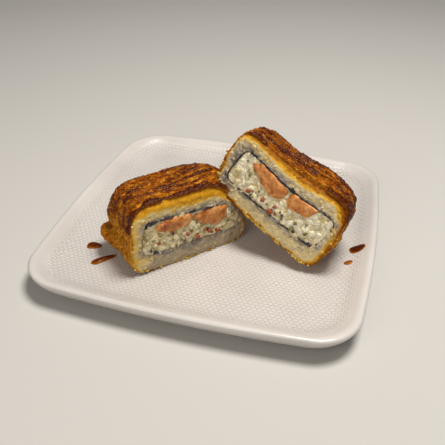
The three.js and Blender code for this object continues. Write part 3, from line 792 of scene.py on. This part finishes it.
def buildShell(side):
    # rings of one outline: out of the pocket, over the cut, over the crust and in over the back
    half, look = halves[side], shellLook
    outline, normals = cutOutline(half, look["columns"])
    pocketDense = evenOutline(half["pocket"], 720)
    pocketMiddle = pocketDense.mean(0)
    pocket = outlineAlongRays(pocketDense, pocketMiddle, outline)
    wall = onCut(pocket, np.linspace(half["pocketDepth"], look["pocketLip"], look["pocketRows"])[:, None])

    # the cut: pocket + (outline - pocket) share, with grains as noise of 2.6 and 1.2 mm, and a
    # shoulder that falls back towards the upper edge
    share = np.linspace(0, 1, look["faceRows"])[:, None]
    face = pocket + (outline - pocket) * share[..., None]
    width = np.linalg.norm(outline - pocket, axis=1)
    toEdge, toPocket = width * (1 - share), width * share
    grains = onCut(face)
    held = smoothStep(0, 1, toEdge) * (1 + 1.2 * smoothStep(5, 1, toPocket))
    lumps = noises(grains, (0.35, 2.6, 5), (0.15, 1.2, 6)) * held * (1 - 0.3 * rimFade(half, normals, toEdge))
    cut = onCut(face, fallBack(normals, toEdge, shoulder["cutWidth"], 2) + lumps)

    # the crust, by reach over it
    reach = np.arange(0, reachEnd(half), look["reachStep"])[1:, None]
    relief = crustRelief(half, outline, normals, reach)
    base = crustPoint(half, outline, normals, reach, np.zeros_like(relief))
    crust = crustPoint(half, outline, normals, reach, relief + bulgeOut(half, outline, normals, reach))

    # the back: middle + (last ring - middle) share, roughened by noise of 5 and 1.6 mm
    backShare = np.linspace(1, 0, look["backRows"] + 1)[1:-1, None]
    back = backMiddle(half) + (crust[-1] - backMiddle(half)) * backShare[..., None]
    rough = noises(back, (0.5, 5.0, 7), (0.35, 1.6, 8))
    back[..., 1] = half["depth"] + rough * smoothStep(1, 0.9, backShare)

    rings = np.concatenate([wall, cut, crust, back])
    points, faces = closedSkin(rings, onCut(pocketMiddle, half["pocketDepth"]), backMiddle(half))

    # what the frying and the filling did to the rice at the cut
    ragged = half["ragged"] * noises(grains, (0.7, 5, 9), (0.35, 1.3, 10))
    golden = rimFade(half, normals, toEdge + ragged) * half["goldDepth"]
    crisp = smoothStep(half["crisp"], 0.2, toEdge + ragged) * smoothStep(half["crisp"] + 1.8, 0.8, toEdge)
    damp = 0.5 + half["dampTop"] * upperShare(normals) + noises(grains, (0.9, 5, 13))
    damp = np.clip(np.exp(-(toPocket / look["dampReach"]) ** 2) * damp, 0, look["dampMost"])

    # the film of sauce between the strands, which leaves a bare edge, with painted shade added towards the
    # back
    count = strandCount(half)
    strands = [strandReach(half, outline, k, count) for k in range(count)]
    nearest = np.min([np.abs(reach - strand) for strand in strands], 0)
    streaks = valueNoise(onCut(outline / 5, reach), 2.3, 11)
    filmAndShade = np.exp(-(nearest / sauceLook["stain"]) ** 2) * 0.7 + 0.4 * streaks + noises(base, (0.5, 5, 12))
    # painted shade: the crust darkens towards its back, on the far side, through the sauce share
    filmAndShade = filmAndShade + 0.5 * smoothStep(0.45, 0.9, reach / reachEnd(half))
    filmAndShade = smoothStep(0.1, 0.8, filmAndShade + half["soaked"]) * sauceCover(half, outline, normals)
    bare = np.interp(outline[:, 0], *np.array(half["bare"]).T)
    filmAndShade = np.maximum(filmAndShade * smoothStep(bare, bare + 2.2, reach + streaks), dabShare(half, crust))
    # wider gold low on the open end: partly fried gold, partly painted light bounced up from the plate
    lowEndGlowShare = openEnd(half, normals, 0.3, 0.8) * smoothStep(36, 24, outline[:, 1])
    rim = smoothStep(3.2 + half["lowEndGlowWidth"] * lowEndGlowShare, 0.4, reach + 1.2 * streaks) * (1 - filmAndShade)

    def overAll(onWall, onCutFace, onCrust, onBack):
        # one attribute over all rings and the two middle points
        values = zip((wall, cut, crust, back), (onWall, onCutFace, onCrust, onBack))
        spread = [np.broadcast_to(value, rows.shape[:2]).ravel() for rows, value in values]
        return np.concatenate([*spread, [onWall, onBack]])

    # toast, with painted shade on the underside and in the end's folds
    toast = toastShare(half, outline, normals, reach)
    addFood("riceShell", side, points, faces, "friedRiceShell", "fried_crust", "rice",
            golden=overAll(0, golden, half["goldDepth"], 0), damp=overAll(0, damp, 0, 0),
            crust=overAll(0, crisp, 1 - half["rimGold"] * rim, 1),
            toast=overAll(0, half["toastCut"], toast, crustLook["toastBack"]),
            sauce=overAll(0, half["sauceCut"], filmAndShade, 0))


# sauce strands

def strandRings(half, base, normal, reach, radius):
    # a flattened tube laid on the crust: centre + radius (across cos a + height up sin a), its
    # skin lumpy by noise of 1.3 mm
    look = sauceLook
    center, up = crustFrame(half, base, normal, reach, bulgeOut(half, base, normal, reach) + look["lift"])
    across = np.cross(up, unit(np.gradient(center, axis=0)))[:, None]
    angle = np.linspace(0, 2 * np.pi, look["sides"], endpoint=False)[None, :, None]
    wide = radius[:, None, None]
    up = up[:, None]
    ring = center[:, None] + across * np.cos(angle) * wide + up * np.sin(angle) * wide * look["height"]
    ring = ring + up * wide * look["lumps"] * valueNoise(ring, look["lumpSize"], 25)[..., None]
    points, faces = closedSkin(ring, center[0], center[-1])
    lifted = np.tile(0.5 + 0.5 * np.sin(angle.ravel()), len(center))
    depth = np.repeat(np.clip(radius / look["deepWidth"], 0, 1), look["sides"]) * lifted
    return points, faces, np.concatenate([depth, [0, 0]])


def buildStrands(side):
    half, look = halves[side], sauceLook
    outline, normals = cutOutline(half, look["columns"])
    cover = sauceCover(half, outline, normals) > 0.35
    start = np.flatnonzero(cover & ~np.roll(cover, 1))[0]
    order = (start + np.arange(cover.sum())) % len(outline)
    base, normal = outline[order], normals[order]
    along = lengthAlong(base)
    random = np.random.default_rng(half["seed"])
    count = strandCount(half)
    # main strands, then thinner ones that wander across them
    firstWide = np.interp(base[:, 0], *np.array(half["firstStrand"]).T)
    plans = [(k, 0, random.uniform(look["low"], look["high"]) if k else firstWide) for k in range(count)]
    plans += [(k + 0.5, look["stray"], random.uniform(look["thinLow"], look["thinHigh"]))
              for k in range(count - 1)]
    made = []
    for k, stray, wide in plans:
        q = asPoints(along, 7.0 * k, 0)
        reach = strandReach(half, base, k, count) + stray * np.sin(along / 11 + 2.3 * k + half["seed"])
        reach = reach + noises(q, (0.6, 3.0, 21), (0.25, 1.2, 27))
        # all but the first end somewhere short of the cover's end, and are broken here and there
        start, end = random.uniform(0, look["ends"], 2) * (k > 0)
        end = along[-1] - end
        fade = smoothStep(start, start + look["taper"], along) * smoothStep(end, end - look["taper"], along)
        radius = wide * (1 + noises(q, (0.45, 6.0, 22), (0.22, 1.8, 23))) * fade
        breaks = smoothStep(-0.4, -0.1, valueNoise(q, 7.0, 24)) if k > 0 else 1
        radius = np.maximum(radius * breaks, look["thinnest"])
        made.append(strandRings(half, base, normal, np.maximum(reach, 1 + 0.9 * radius), radius))
    points, faces, depth = zip(*made)
    offsets = np.cumsum([0] + [len(p) for p in points])
    faces = np.concatenate([f + offset for f, offset in zip(faces, offsets)])
    addFood("sauceStrands", side, np.concatenate(points), faces, "brownSauceGlaze", "brown_sauce", "rice",
            depth=np.concatenate(depth), skin=np.ones(offsets[-1]))


# scattered crumbs and grains

def quadBall(steps):
    # a cube's six faces, each steps x steps, blown up to a unit ball; shared corners are merged
    t = np.linspace(-1, 1, steps + 1)
    u, v = np.meshgrid(t, t, indexing="ij")
    one = np.ones_like(u)
    sides = [(one, u, v), (-one, v, u), (v, one, u), (u, -one, v), (u, v, one), (v, u, -one)]
    points = np.concatenate([np.stack(s, -1).reshape(-1, 3) for s in sides])
    single = np.concatenate([k * (steps + 1) ** 2 + openFaces(steps) for k in range(6)])
    rounded, inverse = np.unique(np.round(points, 6), axis=0, return_inverse=True)
    return unit(rounded), inverse.ravel()[single]


def scatterBalls(ball, centers, axes, sizes, jitter, random):
    # one stretched, roughened ball at each center: center + sum of (1 + jitter) size ball axis;
    # axes: its three directions, sizes: half lengths
    template, faces = ball
    shape = template[None] * (1 + jitter * random.uniform(-1, 1, (len(centers), len(template), 1)))
    points = centers[:, None] + np.einsum("nvk,nkc->nvc", shape * sizes[:, None], axes)
    allFaces = faces[None] + (np.arange(len(centers)) * len(template))[:, None, None]
    return points.reshape(-1, 3), allFaces.reshape(-1, 4)


def leaningAxes(normal, tilt, random):
    # a random direction along the surface, leaned off it by up to tilt
    n = unit(normal + tilt * random.uniform(-1, 1, normal.shape))
    a = unit(np.cross(n, random.normal(size=normal.shape)))
    return np.stack([a, np.cross(n, a), n], 1)


def axesOutOfCut(count, tilt, random):
    return leaningAxes(np.tile([0.0, -1.0, 0.0], (count, 1)), tilt, random)


def mostlySmall(look, count, random):
    return random.uniform(0, 1, count) ** look["skew"] * (look["large"] - look["small"]) + look["small"]


def clearOfRight(half, points, gap):
    # which of the left half's small pieces stay outside the right half
    if half is not halves["left"]:
        return np.ones(len(points), bool)
    placed = toPart(half, points)
    return np.linalg.norm(pressAway(placed, gap) - placed, axis=1) < 0.05


def pointsBetween(outer, inner, count, random):
    # random points of the cut inside one outline and outside the other
    points = random.uniform(outer.min(0), outer.max(0), (count * 4, 2))
    keep = insideOutline(outer, points)
    if inner is not None:
        keep &= ~insideOutline(inner, points)
    return points[keep][:count]


# gap: how far a small piece of the left half keeps from the right half; skew: above 1, most are small
flakeLook = {"count": 2600, "small": 0.35, "large": 1.1, "skew": 2, "flat": 0.5, "pale": 0.55,
             "tilt": 0.5, "jitter": 0.28, "gap": 1.6, "lowest": -0.6}
edgeCrumbLook = {"small": 0.3, "large": 0.85, "skew": 1.5, "spread": 0.9, "tilt": 0.6, "jitter": 0.25,
                 "gap": 1.2, "clumpSize": 6.0}
grainLook = {"count": 400, "length": 2.7, "width": 1.2, "rim": 1.4, "tilt": 0.45, "jitter": 0.05, "gap": 2.2}


def buildFlakes(side):
    half, look = halves[side], flakeLook
    random = np.random.default_rng(half["seed"] + 40)
    outline, normals = cutOutline(half, 1200)
    pick = random.integers(0, len(outline), look["count"])
    base, normal = outline[pick], normals[pick]
    reach = random.uniform(0.2, reachEnd(half) - 0.5, look["count"])
    relief = crustRelief(half, base, normal, reach) + bulgeOut(half, base, normal, reach)
    center, up = crustFrame(half, base, normal, reach, relief + 0.1)
    # and over the back
    extra = look["count"] // 6
    backScale = np.sqrt(random.uniform(0, 1, extra))[:, None]
    rim = crustPoint(half, outline, normals, np.full(len(outline), reachEnd(half)), np.zeros(len(outline)))
    picked = rim[random.integers(0, len(outline), extra)]
    onBack = backMiddle(half) + (picked - backMiddle(half)) * backScale + [0, 0.2, 0]
    center = np.concatenate([center, onBack])
    up = np.concatenate([up, np.tile([0.0, 1.0, 0.0], (extra, 1))])
    # none on the underside
    keep = (up[:, 2] > look["lowest"]) & clearOfRight(half, center, look["gap"])
    center, up = center[keep], up[keep]
    count = len(center)
    axes = leaningAxes(up, look["tilt"], random)
    size = mostlySmall(look, count, random)[:, None]
    sizes = size * np.stack([random.uniform(0.8, 1.6, count), random.uniform(0.6, 1.0, count),
                             np.full(count, look["flat"])], -1)
    points, faces = scatterBalls(quadBall(2), center, axes, sizes, look["jitter"], random)
    soaked = sauceCover(half, base, normal) * smoothStep(0.3, 2.5, reach)
    soaked = np.concatenate([soaked, np.zeros(extra)])[keep] * random.uniform(0.3, 1, count)
    soaked = np.maximum(soaked, dabShare(half, center))
    toast = toastShare(half, base, normal, reach)
    toast = np.concatenate([toast, np.full(extra, crustLook["toastBack"])])[keep]
    tone = random.uniform(0, 1, count) ** 2 * look["pale"] * (1 - 0.7 * soaked) * (1 - 0.6 * toast)
    addFood("crumbFlakes", side, points, faces, "friedCrumbFlakes", "fried_crust", "rice",
            sauce=soaked, toast=toast, tone=tone)


def buildEdgeCrumbs(side):
    # soft yellow crumbs in clumps along the lower edge of the cut, and fewer up its ends
    half, look = halves[side], edgeCrumbLook
    random = np.random.default_rng(half["seed"] + 90)
    outline, normals = cutOutline(half, 1200)
    clumps = valueNoise(asPoints(np.arange(len(outline)) * 0.2, 0, 0), look["clumpSize"], 61)
    lower = smoothStep(0.5, -0.4, normals[:, 1] + 0.7 * normals[:, 0].clip(0))
    weight = lower * smoothStep(-0.35, 0.5, clumps)
    pick = random.choice(len(outline), half["edgeCrumbs"], p=weight / weight.sum())
    base, normal = outline[pick], normals[pick]
    reach = np.abs(random.normal(0, look["spread"], len(base)))
    inset = np.abs(random.normal(0, look["spread"] * 0.6, len(base)))
    center = crustPoint(half, base, normal, reach, 0.2 - inset)
    center[:, 1] = np.where(reach < inset, -0.1, center[:, 1])
    keep = clearOfRight(half, center, look["gap"])
    center = center[keep]
    axes = leaningAxes(onCut(normal[keep], -0.5), look["tilt"], random)
    sizes = mostlySmall(look, len(center), random)[:, None] * random.uniform(0.6, 1.2, (len(center), 3))
    points, faces = scatterBalls(quadBall(2), center, axes, sizes, look["jitter"], random)
    addFood("edgeCrumbs", side, points, faces, "paleCrumbs", "fried_crust", "rice",
            tone=random.uniform(0, 1, len(center)))


def buildGrains(side):
    # rice grains that stand out of the cut between its rim and the pocket
    half, look = halves[side], grainLook
    random = np.random.default_rng(half["seed"] + 60)
    outline, normals = cutOutline(half, 300)
    pocket = evenOutline(half["pocket"], 300)
    spots = pointsBetween(outline, pocket, look["count"], random)
    toEdge, nearest = edgeDistance(outline, spots)
    keep = toEdge > look["rim"]
    spots, toEdge, normal = spots[keep], toEdge[keep], normals[nearest[keep]]
    drop = fallBack(normal, toEdge, shoulder["cutWidth"], 2)
    center = onCut(spots, drop + random.uniform(0.75, 1.2, len(spots)))
    fried = rimFade(half, normal, toEdge)
    keep = clearOfRight(half, center, look["gap"]) & (random.uniform(0, 1, len(center)) > 0.9 * fried)
    center, toEdge = center[keep], toEdge[keep]
    count = len(center)
    axes = axesOutOfCut(count, look["tilt"], random)
    scale = random.uniform(0.85, 1.1, (count, 1))
    sizes = scale * np.array([look["length"], look["width"], look["width"] * 0.9])
    points, faces = scatterBalls(quadBall(3), center, axes, sizes, look["jitter"], random)
    golden = rimFade(half, normal[keep], toEdge + random.uniform(-0.5, 0.5, count)) * half["goldDepth"]
    toPocket = edgeDistance(pocket, center[:, [0, 2]])[0]
    damp = np.exp(-(toPocket / shellLook["dampReach"]) ** 2) * random.uniform(0.2, 1.1, count)
    addFood("riceGrains", side, points, faces, "steamedRiceGrains", "cream_filling", "rice",
            golden=golden, damp=np.clip(damp, 0, shellLook["dampMost"]))


# nori, filling and salmon

# corners of each bar on the cut: s, w, how far off the curve starts
salmonBars = {
    "left_1": [(-28, 31.5, 1.5), (-20, 27, 3), (-6, 26, 2), (-1.8, 29, 1.5), (-2, 34.5, 1), (-20, 35, 1.5)],
    "left_2": [(-1, 30.5, 1.5), (7, 23.5, 2.5), (20, 19.5, 3), (26, 23.5, 2), (25, 30.5, 1.5),
               (12, 34.5, 1.5)],
    "right_1": [(-22.5, 5.5, 1), (-13, 2, 1.5), (-9, -1, 2), (-2, -3, 2), (5, -0.5, 2), (7, 5.5, 1),
                (-7, 9.5, 1.5), (-16, 10, 1)],
    "right_2": [(8.5, 1.5, 1.5), (12, -1.5, 1.5), (17, -2, 2), (27, 1.5, 1.5), (30, 8.5, 1), (20, 8.6, 2),
                (9, 7.6, 1)],
}
# lift: the bars' upper sides swell up to the nori, this far at most; out: how far their middles
# stand out of the cut; depths: the rows that run into the half
salmonLook = {"rows": 26, "lift": 2.0, "out": 1.2, "depths": [0.9, 2, 5, 12, 20, 28]}
layerLook = {"noriInset": 0.3, "noriThickness": 0.3, "fillingColumns": 300, "fillingRows": 60, "openReach": 9}
chunkLook = {"count": 90, "small": 1.5, "large": 3.8, "skew": 1.5, "tilt": 0.4, "jitter": 0.26, "gap": 2.5,
             "inset": 2.6, "stretch": [1.3, 1.0, 0.5]}
bitLook = {"out": 0.35, "square": 0.6, "tilt": 0.5, "jitter": 0.06, "gap": 1.5}


def noriShare(half, outline):
    # 1 where the sheet's cut edge shows, 0 where the filling and rice have closed over it
    s, w = outline[:, 0], outline[:, 1]
    share = smoothStep(half["noriShown"] - 2, half["noriShown"] + 2, w)
    share = share * smoothStep(half["noriTo"] + 2, half["noriTo"] - 1, s)
    for s0, w0, wide, tall in half["noriHidden"]:
        share = share * (1 - np.exp(-((s - s0) / wide) ** 2 - ((w - w0) / tall) ** 2))
    return share


def buildNori(side):
    # the pocket's outline, inset, as an open strip: in along one face and out along the other;
    # it is thicker in folds, noise of 7 mm, and towards the top
    half, look = halves[side], layerLook
    outline = evenOutline(half["pocket"], 520)
    normals = outwardNormals(outline)
    folds = 3.5 * np.clip(valueNoise(onCut(outline), 7.0, 35), 0, 1) ** 1.5
    folds = folds + 1.5 * smoothStep(0, 0.6, normals[:, 1])
    thick = look["noriThickness"] * (1 + 0.7 * valueNoise(onCut(outline), 2.2, 34) + folds)
    outer, inner = insetBy(outline, look["noriInset"]), insetBy(outline, look["noriInset"] + thick[:, None])
    s, w = outline.T
    low, high = half["noriOpen"]
    end = (s * half["openSide"]).min() * half["openSide"]
    opened = (np.abs(s - end) < look["openReach"]) & (w > low) & (w < high)
    start = np.flatnonzero(~opened & np.roll(opened, 1))[0]
    order = (start + np.arange((~opened).sum())) % len(outline)
    outer, inner = outer[order], inner[order]
    q = asPoints(lengthAlong(outer), 0, 0)
    # the cut edge stands out where it shows, and lies under the rice where it doesn't
    shown = noriShare(half, outer) * (0.75 + 1.1 * valueNoise(q, 6, 31))
    front = 1.4 - 1.9 * np.clip(shown, 0, 1) + 0.4 * valueNoise(q, 2.2, 32)
    waver = 0.6 * valueNoise(q, 3.1, 33)[:, None] * normals[order]
    back = half["pocketDepth"] - 0.3
    depths = [0, 0.35, 1.2, 6, back]
    rows = []
    for edge, d in [(inner, d) for d in reversed(depths)] + [(outer, d) for d in depths]:
        v = np.minimum(front + d, back) if d < 6 else d
        rows.append(onCut(edge + waver * np.exp(-d / 3), v))
    rings = np.stack(rows, 1)
    points, faces = closedSkin(rings, rings[0].mean(0), rings[-1].mean(0))
    addFood("noriStrip", side, points, faces, "dampNori", "nori", "nori")


def salmonDip(side, points):
    # how far the filling gives way where the salmon runs through it
    dip = np.zeros(len(points))
    for name, corners in salmonBars.items():
        if name.startswith(side):
            outline = evenOutline(corners, 120)
            depth = smoothStep(0.2, 1.6, edgeDistance(outline, points)[0])
            dip = np.maximum(dip, np.where(insideOutline(outline, points), depth, 0))
    return dip


def buildFilling(side):
    # front: middle + (outline - middle) share, lumpy by noise of 5, 2.8 and 1.2 mm, and lower
    # where the salmon runs; then straight in to the bottom of the pocket
    half, look = halves[side], layerLook
    pocket = evenOutline(half["pocket"], look["fillingColumns"])
    outline = insetBy(pocket, look["noriInset"] + look["noriThickness"] + 0.15)
    middle = outline.mean(0)
    share = np.linspace(0, 1, look["fillingRows"] + 1)[1:, None] ** 0.8
    # the front swells out to the rice where the nori doesn't show
    swell = smoothStep(0.6, 0.2, noriShare(half, pocket))[:, None] * 0.95
    face = middle + (outline + (pocket - outline) * swell - middle) * share[..., None]
    p = onCut(face)
    lumps = 0.9 * np.abs(valueNoise(p, 5.0, 41)) + 0.5 * np.abs(valueNoise(p, 2.8, 42))
    lumps = lumps + noises(p, (0.1, 1.2, 43))
    dip = salmonDip(side, face.reshape(-1, 2)).reshape(lumps.shape)
    front = onCut(face, 1.0 - 1.1 * lumps + 2.2 * dip + 0.4 * smoothStep(0.9, 1.0, share))
    bottom = half["pocketDepth"] - 0.6
    sides = onCut(outline, np.linspace(4, bottom, 5)[:, None])
    points, faces = closedSkin(np.concatenate([front, sides]), onCut(middle, front[0, :, 1].mean()),
                               onCut(middle, bottom))
    points[:, 1] = np.minimum(points[:, 1], bottom)
    # painted shade: the raised lumps paler and the crevices darker, from the height on the cut
    tone = np.clip(0.75 * lumps * half["creamTone"], 0, 0.75).ravel()
    addFood("creamFilling", side, points, faces, "creamAndCrabMix", "cream_filling", "filling",
            tone=np.concatenate([tone, np.zeros(len(points) - len(tone))]))


def buildChunks(side):
    # torn crab stick and lumps of cheese that stand out of the cut
    half, look = halves[side], chunkLook
    random = np.random.default_rng(half["seed"] + 80)
    pocket = insetBy(evenOutline(half["pocket"], 240), look["inset"])
    spots = pointsBetween(pocket, None, look["count"] * 2, random)
    spots = spots[salmonDip(side, spots) < 0.05][:look["count"]]
    size = mostlySmall(look, len(spots), random)
    center = onCut(spots, 0.6 + 0.3 * size - random.uniform(0, 0.6, len(spots)))
    keep = clearOfRight(half, center, look["gap"])
    center, size = center[keep], size[keep, None]
    axes = axesOutOfCut(len(center), look["tilt"], random)
    sizes = size * random.uniform(0.6, 1.1, (len(center), 3)) * look["stretch"]
    points, faces = scatterBalls(quadBall(4), center, axes, sizes, look["jitter"], random)
    addFood("crabChunks", side, points, faces, "tornCrabStick", "cream_filling", "filling",
            tone=random.uniform(0, 1, len(center)) * half["creamTone"])


# small pieces in the cut: kind, then [s, w, size] in millimetres
bits = {
    "left": {
        "red": [(2, 16.5, 3.6), (11, 17.5, 3.0), (18, 15.5, 3.0), (8, 19.5, 2.0), (13.5, 15.5, 2.2),
                (-5, 20.5, 2.4), (-21, 33.5, 2.8), (-26, 21, 2.2), (-17, 26.5, 1.8)],
        "green": [(-25, 27, 2.2), (-10, 18, 2.4), (-7, 14.5, 2), (-36, 31, 2.2), (-35, 27, 2), (5, 24, 1.8),
                  (-2, 22, 1.6), (-14, 15, 1.8), (-1, 15, 1.5), (26, 20, 1.6), (-30, 24, 1.5),
                  (22, 16.5, 1.5)],
        "dark": [(-33.4, 38.4, 1.9), (-31.6, 37.8, 2.6), (-29.6, 37.4, 1.7), (-32, 17, 2), (-29, 15, 2.6),
                 (-16, 25, 1.8), (-27.5, 14.6, 1.8), (10, 19.5, 1.4), (-8, 16, 1.3)],
    },
    "right": {
        "red": [(-15, -9.5, 3.0), (-4, -8, 3.2), (5, -7, 2.2), (4, -11.5, 4.4), (8, -10.5, 2.0),
                (-13, -7.8, 1.6), (17, 1, 2.4)],
        "green": [(-11, -11, 2.2), (0, -8.6, 1.8), (10, -7.4, 1.8), (22, -11.5, 2.4), (22, -7, 2.2),
                  (31, -8.4, 2.6), (-20, 0, 1.6), (13, -10.5, 1.6), (-9, -5, 1.5), (28, -3, 1.5),
                  (-26, 7, 1.6)],
        "dark": [(7.6, 10.4, 2.0), (9.4, 10.2, 1.5), (-27, 13.6, 2.2), (-25, 12.9, 1.7), (33.5, 10.4, 1.6),
                 (12, -8.5, 1.5), (-12, -10.8, 1.9), (36, -12.6, 1.5), (37.6, -12.9, 1.9), (24, -12.6, 1.8)],
    },
}


def buildBits(side):
    half, look = halves[side], bitLook
    ball, faces = quadBall(4)
    # part of the way from a ball back to a cube
    boxed = ball / np.abs(ball).max(1, keepdims=True)
    cube = look["square"] * boxed + (1 - look["square"]) * ball, faces
    for kind, material in (("red", "redPepperDice"), ("green", "chivePieces"), ("dark", "noriShreds")):
        random = np.random.default_rng(half["seed"] + len(kind))
        spots = np.array(bits[side][kind])
        center = onCut(spots, -look["out"])
        keep = clearOfRight(half, center, look["gap"])
        center, size = center[keep], spots[keep, 2:]
        axes = axesOutOfCut(len(center), look["tilt"], random)
        sizes = size / 2 * random.uniform(0.75, 1.05, (len(center), 3))
        points, faces = scatterBalls(cube, center, axes, sizes, look["jitter"], random)
        addFood(kind + "Bits", side, points, faces, material, "cream_filling", "filling")


def buildSalmon(name):
    # front: middle + (outline - middle) share, with v at 1.5 share^6 - out; then straight in
    half, look = halves[name.split("_")[0]], salmonLook
    outline = evenOutline(salmonBars[name], 128)
    middle = outline.mean(0)
    outline[:, 1] += look["lift"] * smoothStep(middle[1] - 1, middle[1] + 3, outline[:, 1])
    # frayed by noise of 2.6 and 1.2 mm, and kept inside the nori
    frayed = noises(onCut(outline), (0.7, 2.6, 54), (0.35, 1.2, 55))
    outline = outline + outwardNormals(outline) * frayed[:, None]
    pocket = insetBy(evenOutline(half["pocket"], 480), layerLook["noriInset"] + 0.6)
    outside = ~insideOutline(pocket, outline)
    outline[outside] = pocket[edgeDistance(pocket, outline[outside])[1]]
    share = np.linspace(0, 1, look["rows"])[1:, None]
    face = middle + (outline - middle) * share[..., None]
    v = -look["out"] + 1.5 * share ** 6 + noises(onCut(face), (0.22, 5, 51), (0.1, 1.4, 52))
    edge = outline + noises(onCut(outline), (0.35, 3, 53))[:, None]
    rings = np.concatenate([onCut(face, v), onCut(edge, np.array(look["depths"])[:, None])])
    points, faces = closedSkin(rings, onCut(middle, -look["out"]), onCut(middle, look["depths"][-1]))
    placed = pressedTogether(half, points)
    addPiece("salmonBar_" + name, placed, faces, materials["salmonFlesh"], "salmon_" + name, {})


builders = [buildShell, buildStrands, buildFlakes, buildEdgeCrumbs, buildGrains, buildNori, buildFilling,
            buildChunks, buildBits]
for side in halves:
    for build in builders:
        build(side)
for name in salmonBars:
    buildSalmon(name)
print("both halves built")

# sauce on the plate

drops = {
    "sauce_drop_1": {"at": (-77, -51.8), "turn": 8, "length": 10.2, "width": 8.4, "height": 1.5,
                     "taper": 0.35, "deep": 0.9},
    "sauce_drop_2": {"at": (-64.4, -63.6), "turn": 46, "length": 18, "width": 6.6, "height": 1.4,
                     "taper": 0.5, "deep": 0.85},
    "sauce_drop_3": {"at": (97.8, -5.9), "turn": 13, "length": 10.2, "width": 8.8, "height": 1.2,
                     "taper": 0.15, "deep": 1.1},
    "sauce_drop_4": {"at": (93.4, -20.6), "turn": 30, "length": 5.9, "width": 4.2, "height": 0.9,
                     "taper": 0.1, "deep": 0.4},
}
dropLook = {"columns": 72, "rows": 18, "squareness": 0.8, "gap": 0.3}


def buildDrop(name):
    # along and across a rounded outline |cos|^0.8, |sin|^0.8, times share; height
    # full (1 - share^3)^0.8, so a drop is flat-topped with a steep rim
    d, look = drops[name], dropLook
    angle = np.linspace(0, 2 * np.pi, look["columns"], endpoint=False)
    turn = math.radians(d["turn"])
    rows = np.linspace(0.985, 0.06, look["rows"])
    share = np.concatenate([[0.5, 1.0], rows])[:, None]
    lift = np.concatenate([[0.0, 0.0], rows])[:, None]
    cos, sin = (np.sign(c) * np.abs(c) ** look["squareness"] for c in (np.cos(angle), np.sin(angle)))
    narrow = 1 - d["taper"] * (0.5 + np.cos(angle) * share / 2)
    wobble = 1 + 0.04 * np.sin(3 * angle + d["turn"]) + 0.03 * np.sin(5 * angle)
    along = cos * share * d["length"] / 2
    across = sin * share * narrow * wobble * d["width"] / 2
    x = d["at"][0] + along * math.cos(turn) - across * math.sin(turn)
    y = d["at"][1] + along * math.sin(turn) + across * math.cos(turn)
    rise = np.where(lift > 0, d["height"] * (1 - lift ** 3) ** 0.8, 0)
    rings = np.stack([x, y, plateTop(x, y) + look["gap"] + rise], -1)[:, ::-1]
    under = np.array([*d["at"], plateTop(*np.array(d["at"], float)) + look["gap"]])
    points, faces = closedSkin(rings, under, under + [0, 0, d["height"]])
    tail = 0.5 + 0.5 * np.cos(angle) * share
    depth = d["deep"] * (rise / d["height"]) ** 0.7 * (1 - 0.7 * d["taper"] * tail)
    depth = np.concatenate([depth[:, ::-1].ravel(), [0, d["deep"]]])
    addPiece("sauceDrop_" + name[-1], points, faces, materials["brownSauceGlaze"], name,
             {"depth": depth, "skin": 0 * depth})


for name in drops:
    buildDrop(name)
print("sauce drops built")

# camera, light and floor

cameraView = {"azimuth": -14.61, "elevation": 35.09, "roll": 1.38, "distance": 413.3,
              "target": (3.15, -11.08, 18), "lens": 47.27}
studio = {"floor": 3.0, "paper": "#c4c2be", "sky": 0.15, "skyColor": "#f2efec", "aim": (0, 0, 0.02)}
# place in metres, width, power and colour
lamps = {"keyLamp": ((0.2, 0.02, 0.95), 0.35, 10.2, "#fffaf3"),
         "fillLamp": ((-0.32, -0.95, 0.55), 0.8, 3.6, "#fff8f0")}


def placeCamera():
    view = cameraView
    az, el, roll = (math.radians(view[k]) for k in ("azimuth", "elevation", "roll"))
    ahead = np.array([math.sin(az) * math.cos(el), math.cos(az) * math.cos(el), -math.sin(el)])
    right = np.array([math.cos(az), -math.sin(az), 0])
    up = np.cross(right, ahead)
    right, up = math.cos(roll) * right + math.sin(roll) * up, math.cos(roll) * up - math.sin(roll) * right
    data = bpy.data.cameras.new("camera")
    data.lens = view["lens"]
    data.clip_start = 0.01
    matrix = np.eye(4)
    matrix[:3, :3] = np.stack([right, up, -ahead], -1)
    matrix[:3, 3] = (np.array(view["target"]) - ahead * view["distance"]) * mm
    camera = addObject("camera", data)
    camera.matrix_world = Matrix(matrix.tolist())
    bpy.context.scene.camera = camera


def addLamp(name):
    place, size, power, color = lamps[name]
    data = bpy.data.lights.new(name, "AREA")
    data.shape = "DISK"
    data.size = size
    data.energy = power
    data.color = linearColor(color)[:3]
    lamp = addObject(name, data)
    lamp.rotation_euler = (Vector(studio["aim"]) - Vector(place)).to_track_quat("-Z", "Y").to_euler()
    lamp.location = place


def buildStudio():
    # a pale matt floor under two large soft lamps and an even sky
    size = studio["floor"]
    mesh = bpy.data.meshes.new("studioFloor")
    corners = [(-size, -size, 0), (size, -size, 0), (size, size, 0), (-size, size, 0)]
    mesh.from_pydata(corners, [], [(0, 1, 2, 3)])
    paper = {"Roughness": 0.9, "Base Color": linearColor(studio["paper"])}
    mesh.materials.append(newMaterial("paleStudioPaper", paper))
    addObject("studioFloor", mesh)
    for name in lamps:
        addLamp(name)
    world = bpy.data.worlds.new("studioSky")
    world.use_nodes = True
    sky = world.node_tree.nodes["Background"]
    sky.inputs[0].default_value = linearColor(studio["skyColor"])
    sky.inputs[1].default_value = studio["sky"]
    bpy.context.scene.world = world
    bpy.context.scene.view_settings.view_transform = "Standard"


placeCamera()
buildStudio()
print("camera and studio placed")
